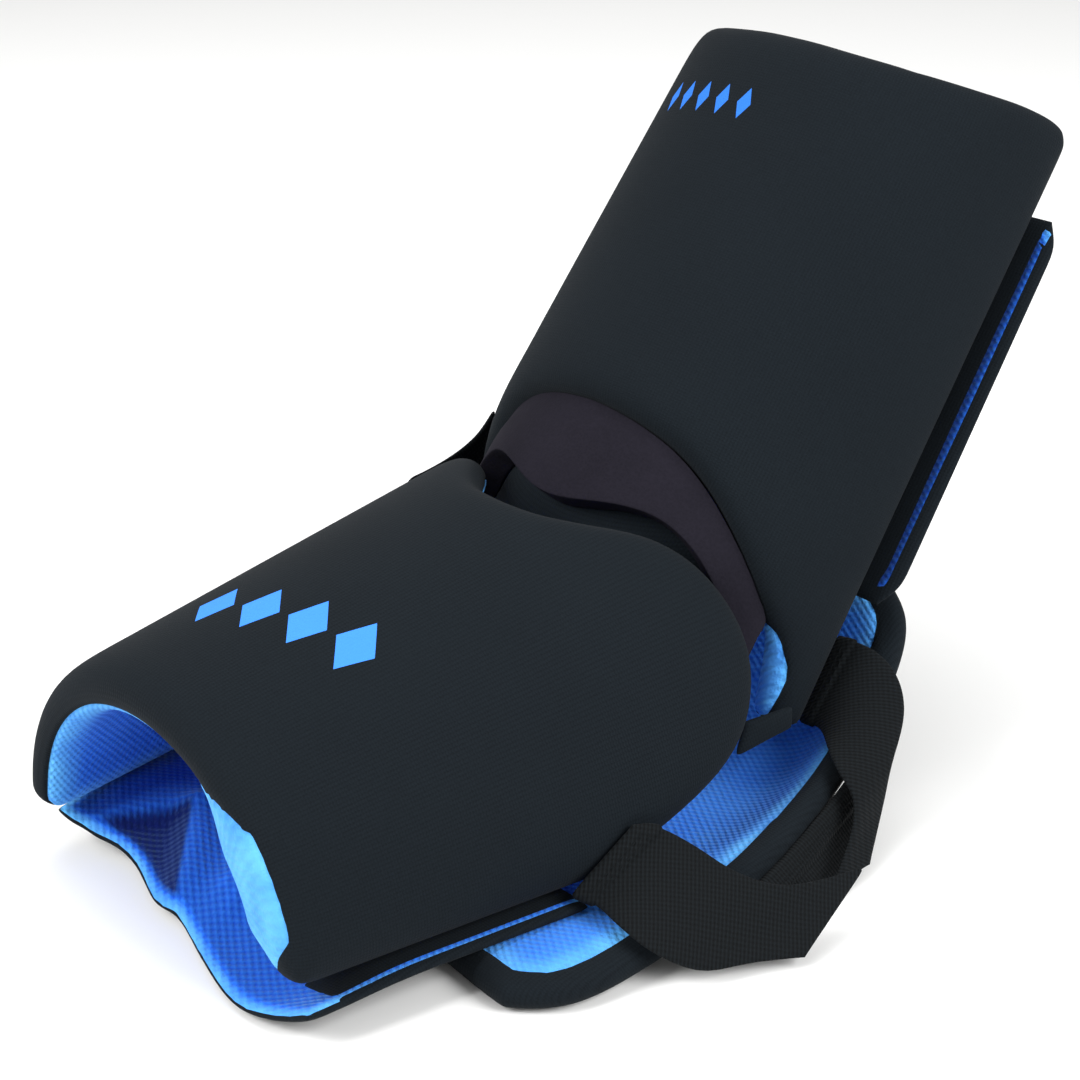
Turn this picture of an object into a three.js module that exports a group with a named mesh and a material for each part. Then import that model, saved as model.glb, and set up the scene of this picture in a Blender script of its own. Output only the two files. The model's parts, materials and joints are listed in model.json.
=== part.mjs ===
// Hockey arm guard: two padded half-pipe shells, a hinge tongue, an elbow cup, closing flaps and elastic.
// Millimetres. +X runs from the wrist to the elbow, -Y is the side nearest the viewer, +Z is up.
import * as THREE from 'three';

// Foam shells
const SHELL_WALL = 14;
const SECTION_HEIGHT = 0.98;
const FOOT_HEIGHT = 13.5;
const FOREARM_LENGTH = 122.2;
const FOREARM_WRIST_RADIUS = 59.6;
const FOREARM_ELBOW_RADIUS = 77;
const UPPER_LENGTH = 175.6;
const UPPER_ELBOW_RADIUS = 67.6;
const UPPER_SHOULDER_RADIUS = 60.8;
const UPPER_LEAN = THREE.MathUtils.degToRad(51.5);
const UPPER_SWAY = 0.0107;
const WRIST_OVERHANG = 1.2;
const ELBOW_X = 35.2;
const ELBOW_Z = 21;
const FOOT_ANGLE = Math.PI / 2;

// Hinge tongue
const TONGUE_THICKNESS = 8;
const TONGUE_DEPTH = 8.2;
const TONGUE_ANGLE = THREE.MathUtils.degToRad(66);
const TONGUE_GAP = 0.7;
const WEB_THICKNESS = 1.8;
const WEB_DEPTH = 13.5;
const WEB_TUCK = 6;
const WEB_DROP = 15;
const WEB_ANGLE = THREE.MathUtils.degToRad(56);

// Elbow cup
const PAD_THICKNESS = 8.4;
const PAD_FLAT_SHARE = 0.78;
const PAD_CORNER_SHARE = 0.11;
const PAD_CORNER_TRIM = 0.1;

// Closing flaps
const FLAP_THICKNESS = 3.2;
const FLAP_HEIGHT = 11.2;
const FLAP_BACK_X = -46;
const FLAP_NEAR_REACH = 0.6;
const FLAP_FAR_TUCK = 4;
const FLAP_SAG_SHARE = 0.4;
const FLAP_FOLD_RISE = 6;
const FLAP_FOLD_WIDTH = 7;
const FLAP_FOLD_Y = -4;
const UPPER_FLAP_START = 44.5;
const UPPER_FLAP_END = 155;
const UPPER_FLAP_DROP = 2.2;
const UPPER_FLAP_NEAR_LOW = -69.8;
const UPPER_FLAP_NEAR_TOP = -65.4;
const UPPER_FLAP_FAR = 58;
const UPPER_FLAP_CORNER = 0.05;
const UPPER_FLAP_TRIM = 0.06;

// Elastic and side links
const STRAP_THICKNESS = 1.8;
const LINK_THICKNESS = 2.4;

// Elbow end of the forearm shell: how far the wall reaches from the wrist, by angle from the crown in degrees
const FOREARM_REACH = [
  { angle: 0, reach: 115 },
  { angle: 8, reach: 116.5 },
  { angle: 14, reach: 121 },
  { angle: 20, reach: 127.5 },
  { angle: 27, reach: 136 },
  { angle: 35, reach: 141 },
  { angle: 45, reach: 143.4 },
  { angle: 55, reach: 143.4 },
  { angle: 63, reach: 140 },
  { angle: 70, reach: 135 },
  { angle: 75, reach: 128.5 },
  { angle: 79, reach: 119.5 },
  { angle: 82, reach: 110 },
  { angle: 86, reach: 96 },
  { angle: 90, reach: 84 },
];

// Upper arm shell: where the wall starts (the scallop) and ends, along its own axis, by angle from the crown
const UPPER_SCALLOP = [
  { angle: 0, reach: 56.6 },
  { angle: 10, reach: 56 },
  { angle: 20, reach: 54.5 },
  { angle: 29, reach: 52 },
  { angle: 39, reach: 47 },
  { angle: 51, reach: 38.5 },
  { angle: 62, reach: 29 },
  { angle: 70, reach: 20.5 },
  { angle: 76, reach: 10 },
  { angle: 82, reach: -7 },
  { angle: 90, reach: -20 },
];
const UPPER_TOP = [
  { angle: 0, reach: 170 },
  { angle: 20, reach: 170.6 },
  { angle: 33, reach: 172 },
  { angle: 46, reach: 174 },
  { angle: 59, reach: 176.4 },
  { angle: 71, reach: 179 },
  { angle: 81, reach: 180.4 },
  { angle: 90, reach: 181 },
];

// Lower edge of the tongue along the upper arm axis, by angle from the crown
const TONGUE_EDGE = [
  { angle: 0, reach: 29.4 },
  { angle: 5, reach: 29.9 },
  { angle: 10, reach: 31.3 },
  { angle: 20, reach: 34.5 },
  { angle: 29, reach: 36 },
  { angle: 36, reach: 35 },
  { angle: 44, reach: 31.5 },
  { angle: 51, reach: 26 },
  { angle: 60, reach: 18 },
  { angle: 68, reach: 10.5 },
];

// Elbow cup stations from the forearm end to the upper end: middle line, near rim and far rim
const PAD_STATIONS = [
  { key: 0, midX: -73, midZ: 4.2, rimX: -76, rimY: -87, rimZ: 5.2, farY: 60, farZ: 4.2 },
  { key: 1, midX: -50, midZ: 4.2, rimX: -48, rimY: -89, rimZ: 6.4, farY: 65, farZ: 4.2 },
  { key: 2, midX: -12, midZ: 4.2, rimX: -10, rimY: -89, rimZ: 12, farY: 71, farZ: 6 },
  { key: 3, midX: 24, midZ: 4.2, rimX: 29, rimY: -81, rimZ: 19.5, farY: 75, farZ: 15 },
  { key: 4, midX: 48, midZ: 14, rimX: 52, rimY: -73.5, rimZ: 28, farY: 73.5, farZ: 27 },
  { key: 5, midX: 64, midZ: 31, rimX: 66, rimY: -68.5, rimZ: 38, farY: 69, farZ: 38 },
  { key: 6, midX: 76, midZ: 49, rimX: 76, rimY: -63, rimZ: 50, farY: 63, farZ: 50 },
];

// Front edge of the forearm flap, across from the near side to the far side
const FLAP_FRONT = [
  { y: -60, x: -120, z: 9.4 },
  { y: -54, x: -121.5, z: 6.6 },
  { y: -47, x: -122.4, z: 4 },
  { y: -39, x: -123.4, z: 2.4 },
  { y: -30, x: -122.4, z: 1.9 },
  { y: -14, x: -118, z: 1.9 },
  { y: 1, x: -113.6, z: 2.3 },
  { y: 10, x: -114.4, z: 2.8 },
  { y: 28, x: -109.2, z: 4.6 },
  { y: 38, x: -109.2, z: 6 },
  { y: 47, x: -112, z: 6.8 },
  { y: 56, x: -114, z: 9.6 },
];

// Elastic: the two edges of each band, station by station from the sewn end to the fold
const FOREARM_STRAP = [
  { key: 0, lowX: -48.5, lowY: -71.8, lowZ: 16, highX: -31, highY: -73.4, highZ: 27.6 },
  { key: 1, lowX: -46, lowY: -77, lowZ: 14.6, highX: -26, highY: -76, highZ: 27 },
  { key: 2, lowX: -48, lowY: -87, lowZ: 14.4, highX: -21, highY: -84, highZ: 23 },
  { key: 3, lowX: -46, lowY: -96, lowZ: 11, highX: -17, highY: -93, highZ: 18.5 },
  { key: 4, lowX: -37, lowY: -102.6, lowZ: 5, highX: -9, highY: -101, highZ: 14.6 },
  { key: 5, lowX: -25, lowY: -107, lowZ: 4.2, highX: 2.6, highY: -104.6, highZ: 13 },
  { key: 6, lowX: -13.5, lowY: -113.4, lowZ: 3.6, highX: 13.5, highY: -107, highZ: 12.6 },
];
const UPPER_STRAP = [
  { key: 0, lowX: 41.8, lowY: -61.5, lowZ: 26, highX: 56, highY: -60.6, highZ: 43.8 },
  { key: 1, lowX: 39.6, lowY: -70, lowZ: 27.6, highX: 57.4, highY: -69.6, highZ: 44 },
  { key: 2, lowX: 32.5, lowY: -79, lowZ: 28, highX: 58, highY: -78, highZ: 39.4 },
  { key: 3, lowX: 28, lowY: -87, lowZ: 26, highX: 54, highY: -84.6, highZ: 32 },
  { key: 4, lowX: 28, lowY: -92, lowZ: 21, highX: 43, highY: -90.2, highZ: 23.8 },
  { key: 5, lowX: 22.4, lowY: -97, lowZ: 15.6, highX: 38, highY: -92.4, highZ: 15.4 },
  { key: 6, lowX: 9, lowY: -103.6, lowZ: 9.5, highX: 22, highY: -102.2, highZ: 9 },
];
const PAD_STRAP = [
  { key: 0, lowX: -13, lowY: -95.4, lowZ: 8, highX: 36.5, highY: -85, highZ: 18.6 },
  { key: 1, lowX: -10.5, lowY: -98.6, lowZ: 6, highX: 33, highY: -90, highZ: 10.5 },
  { key: 2, lowX: -6, lowY: -101.4, lowZ: 4.2, highX: 26.5, highY: -95.6, highZ: 3.6 },
];
const FAR_STRAP = [
  { key: 0, lowX: 1, lowY: 76, lowZ: 40, highX: 11, highY: 63, highZ: 64.6 },
  { key: 1, lowX: 12, lowY: 75, lowZ: 41, highX: 19, highY: 65, highZ: 64.2 },
  { key: 2, lowX: 25, lowY: 72.6, lowZ: 44, highX: 30, highY: 66.4, highZ: 65.4 },
  { key: 3, lowX: 37, lowY: 70.6, lowZ: 48, highX: 38, highY: 65.4, highZ: 69.6 },
  { key: 4, lowX: 46, lowY: 69.4, lowZ: 53, highX: 43, highY: 64.4, highZ: 75.6 },
];

// Side links: the two edges of each web from the forearm shell to the tip of the upper arm shell
const SIDE_LINK = [
  { key: 0, lowX: 12.2, lowY: 66.2, lowZ: 29.3, highX: 15.8, highY: 65.6, highZ: 36 },
  { key: 1, lowX: 19.5, lowY: 67.8, lowZ: 31.1, highX: 21.4, highY: 67.4, highZ: 36.6 },
  { key: 2, lowX: 27.6, lowY: 69.05, lowZ: 32.4, highX: 28, highY: 68.7, highZ: 36.8 },
];

// Finishes
const BLACK_KNIT = new THREE.MeshStandardMaterial({ name: 'black_knit', color: 0x2b2f33, roughness: 0.9 });
const GREY_FOAM = new THREE.MeshStandardMaterial({ name: 'grey_foam', color: 0x47444f, roughness: 0.95 });
const BLUE_PLUSH = new THREE.MeshStandardMaterial({ name: 'blue_plush', color: 0x2f7fe6, roughness: 0.95 });
const BLACK_ELASTIC = new THREE.MeshStandardMaterial({ name: 'black_elastic', color: 0x26272a, roughness: 0.85 });

/** Smooth value of one column of a table, read at a place on its key column. */
function readTable(table, keyName, column, place) {
  const last = table.length - 1;
  const at = THREE.MathUtils.clamp(place, table[0][keyName], table[last][keyName]);
  let row = 0;
  while (row < last - 1 && at > table[row + 1][keyName]) {
    row += 1;
  }
  const slopeAt = (k) => {
    const before = table[Math.max(k - 1, 0)];
    const after = table[Math.min(k + 1, last)];
    return (after[column] - before[column]) / (after[keyName] - before[keyName]);
  };
  const from = table[row];
  const to = table[row + 1];
  const span = to[keyName] - from[keyName];
  const t = (at - from[keyName]) / span;
  const rise = (3 - 2 * t) * t * t;
  const leave = t * (1 - t) * (1 - t) * span * slopeAt(row);
  const arrive = t * t * (t - 1) * span * slopeAt(row + 1);
  return from[column] + (to[column] - from[column]) * rise + leave + arrive;
}

/** Length of a slanted cut edge per unit of arc, used to keep the rolled rim an even width. */
function rimStretch(table, degrees, radius) {
  const step = 1;
  const low = Math.max(degrees - step, 0);
  const high = Math.min(degrees + step, 90);
  const climb = readTable(table, 'angle', 'reach', high) - readTable(table, 'angle', 'reach', low);
  const arc = THREE.MathUtils.degToRad(high - low) * radius;
  return Math.min(Math.hypot(1, climb / arc), 2.4);
}

/** A point of the forearm section: distance from the wrist, angle from the crown, depth below the outside. */
function forearmPoint(along, angle, depth) {
  const taper = (FOREARM_ELBOW_RADIUS - FOREARM_WRIST_RADIUS) / FOREARM_LENGTH;
  const radius = FOREARM_WRIST_RADIUS + taper * along - depth;
  const height = FOOT_HEIGHT + radius * SECTION_HEIGHT * Math.cos(angle);
  return new THREE.Vector3(along - FOREARM_LENGTH, radius * Math.sin(angle), height);
}

/** A point in the upper arm's own axes: distance from the elbow, sideways, and out from its open plane. */
function upperPlace(along, sideways, out) {
  const x = ELBOW_X + along * Math.cos(UPPER_LEAN) - out * Math.sin(UPPER_LEAN);
  const z = ELBOW_Z + along * Math.sin(UPPER_LEAN) + out * Math.cos(UPPER_LEAN);
  return new THREE.Vector3(x, sideways + along * UPPER_SWAY, z);
}

/** A point of the upper arm section: distance from the elbow, angle from the crown, depth below the outside. */
function upperPoint(along, angle, depth) {
  const taper = (UPPER_SHOULDER_RADIUS - UPPER_ELBOW_RADIUS) / UPPER_LENGTH;
  const radius = UPPER_ELBOW_RADIUS + taper * along - depth;
  return upperPlace(along, radius * Math.sin(angle), radius * SECTION_HEIGHT * Math.cos(angle));
}

/** Closed solid of even thickness round a middle surface, with rolled edges and rolled corners. */
function paddedSheet({ rows, cols, thickness, edgeSteps, cornerSteps, point }) {
  const half = thickness / 2;
  const index = (i, j) => i * (cols + 1) + j;
  const mids = [];
  for (let i = 0; i <= rows; i += 1) {
    for (let j = 0; j <= cols; j += 1) {
      mids.push(point(i / rows, j / cols));
    }
  }
  const difference = (a, b) => new THREE.Vector3().subVectors(mids[a], mids[b]);
  const normals = [];
  for (let i = 0; i <= rows; i += 1) {
    for (let j = 0; j <= cols; j += 1) {
      const lengthwise = difference(index(Math.min(i + 1, rows), j), index(Math.max(i - 1, 0), j));
      const crosswise = difference(index(i, Math.min(j + 1, cols)), index(i, Math.max(j - 1, 0)));
      normals.push(lengthwise.cross(crosswise).normalize());
    }
  }

  // Sides of the sheet in order round its edge, each with its next vertex inwards
  const sides = [[], [], [], []];
  for (let j = 0; j <= cols; j += 1) {
    sides[0].push({ edge: index(0, j), inner: index(1, j) });
    sides[2].unshift({ edge: index(rows, j), inner: index(rows - 1, j) });
  }
  for (let i = 0; i <= rows; i += 1) {
    sides[1].push({ edge: index(i, cols), inner: index(i, cols - 1) });
    sides[3].unshift({ edge: index(i, 0), inner: index(i, 1) });
  }
  const outward = (side, k) => {
    const here = side[k];
    const next = side[Math.min(k + 1, side.length - 1)];
    const before = side[Math.max(k - 1, 0)];
    const way = difference(next.edge, before.edge).cross(normals[here.edge]).normalize();
    const out = difference(here.edge, here.inner);
    return way.dot(out) < 0 ? way.negate() : way;
  };
  const rim = [];
  sides.forEach((side, s) => {
    side.forEach((here, k) => {
      rim.push({ edge: here.edge, way: outward(side, k) });
    });
    const corner = side[side.length - 1].edge;
    const from = outward(side, side.length - 1);
    const to = outward(sides[(s + 1) % 4], 0);
    for (let c = 1; c < cornerSteps; c += 1) {
      rim.push({ edge: corner, way: from.clone().lerp(to, c / cornerSteps).normalize() });
    }
  });

  const vertices = [];
  const place = (v) => vertices.push(v.x, v.y, v.z);
  mids.forEach((mid, k) => place(mid.clone().addScaledVector(normals[k], half)));
  mids.forEach((mid, k) => place(mid.clone().addScaledVector(normals[k], -half)));
  rim.forEach(({ edge, way }) => {
    for (let e = 1; e < edgeSteps; e += 1) {
      const turn = (Math.PI * e) / edgeSteps;
      const spot = mids[edge].clone();
      spot.addScaledVector(normals[edge], half * Math.cos(turn));
      spot.addScaledVector(way, half * Math.sin(turn));
      place(spot);
    }
  });
  const rimIndex = (m, e) => {
    const column = m % rim.length;
    if (e === 0) {
      return rim[column].edge;
    }
    if (e === edgeSteps) {
      return mids.length + rim[column].edge;
    }
    return 2 * mids.length + column * (edgeSteps - 1) + e - 1;
  };

  const faces = [];
  const triangle = (a, b, c) => {
    if (a !== b && b !== c && c !== a) {
      faces.push(a, b, c);
    }
  };
  for (let i = 0; i < rows; i += 1) {
    for (let j = 0; j < cols; j += 1) {
      const [a, b, c, d] = [index(i, j), index(i + 1, j), index(i + 1, j + 1), index(i, j + 1)];
      const under = mids.length;
      triangle(a, b, c);
      triangle(a, c, d);
      triangle(under + a, under + c, under + b);
      triangle(under + a, under + d, under + c);
    }
  }
  for (let m = 0; m < rim.length; m += 1) {
    for (let e = 0; e < edgeSteps; e += 1) {
      triangle(rimIndex(m, e), rimIndex(m + 1, e), rimIndex(m + 1, e + 1));
      triangle(rimIndex(m, e), rimIndex(m + 1, e + 1), rimIndex(m, e + 1));
    }
  }
  const geometry = new THREE.BufferGeometry();
  geometry.setAttribute('position', new THREE.Float32BufferAttribute(vertices, 3));
  geometry.setIndex(faces);
  geometry.computeVertexNormals();
  return geometry;
}

/** Narrowing of a sheet close to its ends, which rounds its corners in plan. */
function cornerShare(u, reach, trim) {
  const fromEnd = Math.min(u, 1 - u) / reach;
  if (fromEnd >= 1) {
    return 1;
  }
  return 1 - trim * (1 - Math.sqrt(1 - (1 - fromEnd) ** 2));
}

function forearmShell(u, v) {
  const inset = SHELL_WALL / 2;
  const share = 2 * v - 1;
  const nominal = Math.abs(share) * (FOOT_ANGLE - inset / (FOREARM_ELBOW_RADIUS - inset));
  const degrees = THREE.MathUtils.radToDeg(nominal);
  const stretch = rimStretch(FOREARM_REACH, degrees, FOREARM_ELBOW_RADIUS);
  const end = readTable(FOREARM_REACH, 'angle', 'reach', degrees) - inset * stretch;
  const along = THREE.MathUtils.lerp(inset - WRIST_OVERHANG, end, u);
  const taper = (FOREARM_ELBOW_RADIUS - FOREARM_WRIST_RADIUS) / FOREARM_LENGTH;
  const radius = FOREARM_WRIST_RADIUS + taper * along - inset;
  return forearmPoint(along, share * (FOOT_ANGLE - inset / radius), inset);
}

function upperShell(u, v) {
  const inset = SHELL_WALL / 2;
  const share = 2 * v - 1;
  const angle = share * (FOOT_ANGLE - inset / (UPPER_SHOULDER_RADIUS - inset));
  const degrees = THREE.MathUtils.radToDeg(Math.abs(angle));
  const stretch = rimStretch(UPPER_SCALLOP, degrees, UPPER_ELBOW_RADIUS);
  const start = readTable(UPPER_SCALLOP, 'angle', 'reach', degrees) + inset * stretch;
  const end = readTable(UPPER_TOP, 'angle', 'reach', degrees) - inset;
  return upperPoint(THREE.MathUtils.lerp(start, end, u), angle, inset);
}

function hingeTongue(u, v) {
  const angle = (2 * v - 1) * TONGUE_ANGLE;
  const degrees = THREE.MathUtils.radToDeg(Math.abs(angle));
  const stretch = rimStretch(UPPER_SCALLOP, degrees, UPPER_ELBOW_RADIUS);
  const low = readTable(TONGUE_EDGE, 'angle', 'reach', degrees);
  const high = readTable(UPPER_SCALLOP, 'angle', 'reach', degrees) - TONGUE_GAP * stretch;
  return upperPoint(THREE.MathUtils.lerp(low, high, u), angle, TONGUE_DEPTH);
}

function hingeWeb(u, v) {
  const angle = (2 * v - 1) * WEB_ANGLE;
  const edge = readTable(TONGUE_EDGE, 'angle', 'reach', THREE.MathUtils.radToDeg(Math.abs(angle)));
  return upperPoint(edge + THREE.MathUtils.lerp(-WEB_DROP, WEB_TUCK, u), angle, WEB_DEPTH);
}

function elbowPad(u, v) {
  const key = u * (PAD_STATIONS.length - 1);
  const read = (column) => readTable(PAD_STATIONS, 'key', column, key);
  const trim = cornerShare(u, PAD_CORNER_SHARE, PAD_CORNER_TRIM);
  const share = 2 * v - 1;
  const near = share < 0;
  const reach = Math.abs(share);
  const lip = Math.max((reach - PAD_FLAT_SHARE) / (1 - PAD_FLAT_SHARE), 0) ** 2;
  const y = reach * trim * (near ? read('rimY') : read('farY'));
  const x = read('midX') + (near ? (read('rimX') - read('midX')) * reach * reach : 0);
  const floorZ = Math.max(read('midZ'), PAD_THICKNESS / 2);
  const rimZ = Math.max(near ? read('rimZ') : read('farZ'), floorZ);
  return new THREE.Vector3(x, y, floorZ + (rimZ - floorZ) * lip);
}

function forearmFlap(u, v) {
  const frontY = THREE.MathUtils.lerp(FLAP_FRONT[0].y, FLAP_FRONT[FLAP_FRONT.length - 1].y, v);
  const frontX = readTable(FLAP_FRONT, 'y', 'x', frontY);
  const frontZ = readTable(FLAP_FRONT, 'y', 'z', frontY);
  const taper = (FOREARM_ELBOW_RADIUS - FOREARM_WRIST_RADIUS) / FOREARM_LENGTH;
  const backRadius = FOREARM_WRIST_RADIUS + taper * (FLAP_BACK_X + FOREARM_LENGTH);
  const backY = THREE.MathUtils.lerp(-backRadius - FLAP_NEAR_REACH, backRadius - FLAP_FAR_TUCK, v);
  const x = THREE.MathUtils.lerp(frontX, FLAP_BACK_X, u);
  const y = THREE.MathUtils.lerp(frontY, backY, u);
  const settle = THREE.MathUtils.smoothstep(u, 0, FLAP_SAG_SHARE);
  const foldLine = (y - FLAP_FOLD_Y) / FLAP_FOLD_WIDTH;
  const fold = FLAP_FOLD_RISE * Math.exp(-foldLine * foldLine) * THREE.MathUtils.smoothstep(u, 0, 0.2) * (1 - u);
  const z = THREE.MathUtils.lerp(frontZ, FLAP_HEIGHT, settle) + fold;
  return new THREE.Vector3(x, y, z);
}

function upperFlap(u, v) {
  const trim = cornerShare(u, UPPER_FLAP_CORNER, UPPER_FLAP_TRIM);
  const along = THREE.MathUtils.lerp(UPPER_FLAP_START, UPPER_FLAP_END, u);
  const near = THREE.MathUtils.lerp(UPPER_FLAP_NEAR_LOW, UPPER_FLAP_NEAR_TOP, u);
  const across = THREE.MathUtils.lerp(near, UPPER_FLAP_FAR, v) * trim;
  return upperPlace(along, across, -UPPER_FLAP_DROP);
}

/** Middle surface of a band between the two edges listed in a table. */
function band(table, side) {
  return (u, v) => {
    const key = u * (table.length - 1);
    const mix = (letter) => THREE.MathUtils.lerp(
      readTable(table, 'key', `low${letter}`, key),
      readTable(table, 'key', `high${letter}`, key),
      v,
    );
    return new THREE.Vector3(mix('X'), side * mix('Y'), mix('Z'));
  };
}

const guard = new THREE.Group();
guard.name = 'hockey_arm_guard';
const forearmSection = new THREE.Group();
forearmSection.name = 'forearm_section';
const upperSection = new THREE.Group();
upperSection.name = 'upper_arm_section';
const elbowSection = new THREE.Group();
elbowSection.name = 'elbow_section';
guard.add(forearmSection, upperSection, elbowSection);

function addPiece(section, name, material, sheet) {
  const mesh = new THREE.Mesh(paddedSheet(sheet), material);
  mesh.name = name;
  section.add(mesh);
}

addPiece(forearmSection, 'forearm_shell', BLACK_KNIT, {
  rows: 14, cols: 30, thickness: SHELL_WALL, edgeSteps: 4, cornerSteps: 3, point: forearmShell,
});
addPiece(forearmSection, 'forearm_flap', BLUE_PLUSH, {
  rows: 12, cols: 24, thickness: FLAP_THICKNESS, edgeSteps: 2, cornerSteps: 2, point: forearmFlap,
});
addPiece(upperSection, 'upper_arm_shell', BLACK_KNIT, {
  rows: 12, cols: 30, thickness: SHELL_WALL, edgeSteps: 4, cornerSteps: 3, point: upperShell,
});
addPiece(upperSection, 'upper_arm_flap', BLUE_PLUSH, {
  rows: 20, cols: 6, thickness: FLAP_THICKNESS, edgeSteps: 2, cornerSteps: 2, point: upperFlap,
});
addPiece(upperSection, 'hinge_tongue', GREY_FOAM, {
  rows: 3, cols: 24, thickness: TONGUE_THICKNESS, edgeSteps: 1, cornerSteps: 1, point: hingeTongue,
});
addPiece(upperSection, 'hinge_web', BLACK_ELASTIC, {
  rows: 5, cols: 20, thickness: WEB_THICKNESS, edgeSteps: 1, cornerSteps: 1, point: hingeWeb,
});
addPiece(elbowSection, 'elbow_pad', BLACK_KNIT, {
  rows: 26, cols: 16, thickness: PAD_THICKNESS, edgeSteps: 4, cornerSteps: 2, point: elbowPad,
});
addPiece(elbowSection, 'near_strap_forearm', BLACK_ELASTIC, {
  rows: 14, cols: 4, thickness: STRAP_THICKNESS, edgeSteps: 2, cornerSteps: 2, point: band(FOREARM_STRAP, 1),
});
addPiece(elbowSection, 'near_strap_upper', BLACK_ELASTIC, {
  rows: 14, cols: 4, thickness: STRAP_THICKNESS, edgeSteps: 2, cornerSteps: 2, point: band(UPPER_STRAP, 1),
});
addPiece(elbowSection, 'near_strap_pad', BLACK_ELASTIC, {
  rows: 6, cols: 4, thickness: STRAP_THICKNESS, edgeSteps: 2, cornerSteps: 2, point: band(PAD_STRAP, 1),
});
addPiece(elbowSection, 'far_strap', BLACK_ELASTIC, {
  rows: 8, cols: 4, thickness: STRAP_THICKNESS, edgeSteps: 2, cornerSteps: 2, point: band(FAR_STRAP, 1),
});
addPiece(elbowSection, 'near_link', BLACK_ELASTIC, {
  rows: 4, cols: 2, thickness: LINK_THICKNESS, edgeSteps: 2, cornerSteps: 2, point: band(SIDE_LINK, -1),
});
addPiece(elbowSection, 'far_link', BLACK_ELASTIC, {
  rows: 4, cols: 2, thickness: LINK_THICKNESS, edgeSteps: 2, cornerSteps: 2, point: band(SIDE_LINK, 1),
});

// Stand the guard on the floor with its outline centred on the origin
const outline = new THREE.Box3().setFromObject(guard, true);
const centre = outline.getCenter(new THREE.Vector3());
guard.traverse((piece) => {
  if (piece.isMesh) {
    piece.geometry.translate(-centre.x, -centre.y, -outline.min.z);
  }
});

export default guard;
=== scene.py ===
"""Looks of a hockey goalkeeper's arm guard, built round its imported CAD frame.

Lengths are metres in the row frame: +X runs from the wrist to the upper arm, -Y is the strap side, +Z is up.
"""

from __future__ import annotations

import json
import logging
import math
from dataclasses import dataclass, field
from enum import Enum
from typing import Any, Callable, Mapping, Sequence

import bmesh
import bpy
import numpy as np
from bpy.types import Material, Mesh, Node, NodeSocket, NodeTree, Object
from mathutils import Matrix, Vector
from mathutils.bvhtree import BVHTree

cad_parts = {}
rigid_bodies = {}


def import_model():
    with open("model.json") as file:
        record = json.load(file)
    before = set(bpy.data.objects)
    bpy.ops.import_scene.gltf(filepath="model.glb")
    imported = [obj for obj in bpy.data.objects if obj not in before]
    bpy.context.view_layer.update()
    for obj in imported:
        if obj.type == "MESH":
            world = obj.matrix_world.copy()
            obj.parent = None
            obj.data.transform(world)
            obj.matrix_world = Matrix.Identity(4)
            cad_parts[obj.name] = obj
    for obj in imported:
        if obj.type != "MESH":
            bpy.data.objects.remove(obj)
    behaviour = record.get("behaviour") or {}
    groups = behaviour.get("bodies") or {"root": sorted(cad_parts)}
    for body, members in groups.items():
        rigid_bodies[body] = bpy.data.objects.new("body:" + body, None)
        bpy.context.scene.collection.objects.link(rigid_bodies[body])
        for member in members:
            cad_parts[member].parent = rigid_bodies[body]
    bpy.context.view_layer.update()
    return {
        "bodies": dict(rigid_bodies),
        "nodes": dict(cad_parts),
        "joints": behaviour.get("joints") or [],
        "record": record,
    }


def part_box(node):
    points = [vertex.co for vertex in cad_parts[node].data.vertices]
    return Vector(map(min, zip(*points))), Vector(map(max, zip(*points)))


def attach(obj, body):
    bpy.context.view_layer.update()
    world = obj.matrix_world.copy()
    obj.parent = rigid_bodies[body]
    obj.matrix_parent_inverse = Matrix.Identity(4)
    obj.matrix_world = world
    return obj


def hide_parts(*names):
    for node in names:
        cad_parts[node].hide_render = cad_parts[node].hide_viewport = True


LOG = logging.getLogger("arm_guard")
MM = 0.001
BODY = "root"
UV_NAME = "cloth"
# The nap attribute holds brushed pile with painted highlight where positive, and painted shade where negative
NAP_AND_LIGHT_NAME = "nap_and_painted_light"
TINY = 1e-9
MATH = "ShaderNodeMath"
MIX = "ShaderNodeMixRGB"
NOISE = "ShaderNodeTexNoise"
SPREAD = "ShaderNodeMapRange"


class Slot(str, Enum):
    """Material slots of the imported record."""

    KNIT = "black_knit"
    PLUSH = "blue_plush"
    FOAM = "grey_foam"
    ELASTIC = "black_elastic"


class Held(str, Enum):
    """How a sheet is held."""

    HUNG = "hung"
    STRETCHED = "stretched"


class Skin(int, Enum):
    """Which side of a padded sheet a face belongs to, used as its material index."""

    COVER = 0
    LINING = 1


def to_linear(code: str) -> tuple[float, float, float, float]:
    """Turn an sRGB hex colour into linear RGBA.

    Args:
        code: Colour written as #rrggbb.

    Returns:
        Linear red, green, blue and an alpha of 1.
    """
    channels = [int(code[k : k + 2], 16) / 255 for k in (1, 3, 5)]
    linear = [c / 12.92 if c <= 0.04045 else ((c + 0.055) / 1.055) ** 2.4 for c in channels]
    return linear[0], linear[1], linear[2], 1.0


def add_node(tree: NodeTree, kind: str, inputs: Mapping[Any, Any] | None = None, **settings: Any) -> Node:
    """Add one node with its settings, input values and links.

    Args:
        tree: Node tree that gets the node.
        kind: Blender's type name of the node.
        inputs: Input name or index, with a value or an output socket to link.
        settings: Properties of the node itself.

    Returns:
        The new node.
    """
    node = tree.nodes.new(kind)
    for name, value in settings.items():
        setattr(node, name, value)
    for key, value in (inputs or {}).items():
        if isinstance(value, NodeSocket):
            tree.links.new(value, node.inputs[key])
        else:
            node.inputs[key].default_value = value
    return node


def new_material(name: str) -> tuple[Material, NodeTree]:
    """Make an empty node material.

    Args:
        name: Name of the material.

    Returns:
        The material and its cleared node tree.
    """
    material = bpy.data.materials.new(name)
    material.use_nodes = True
    material.node_tree.nodes.clear()
    return material, material.node_tree


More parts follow.
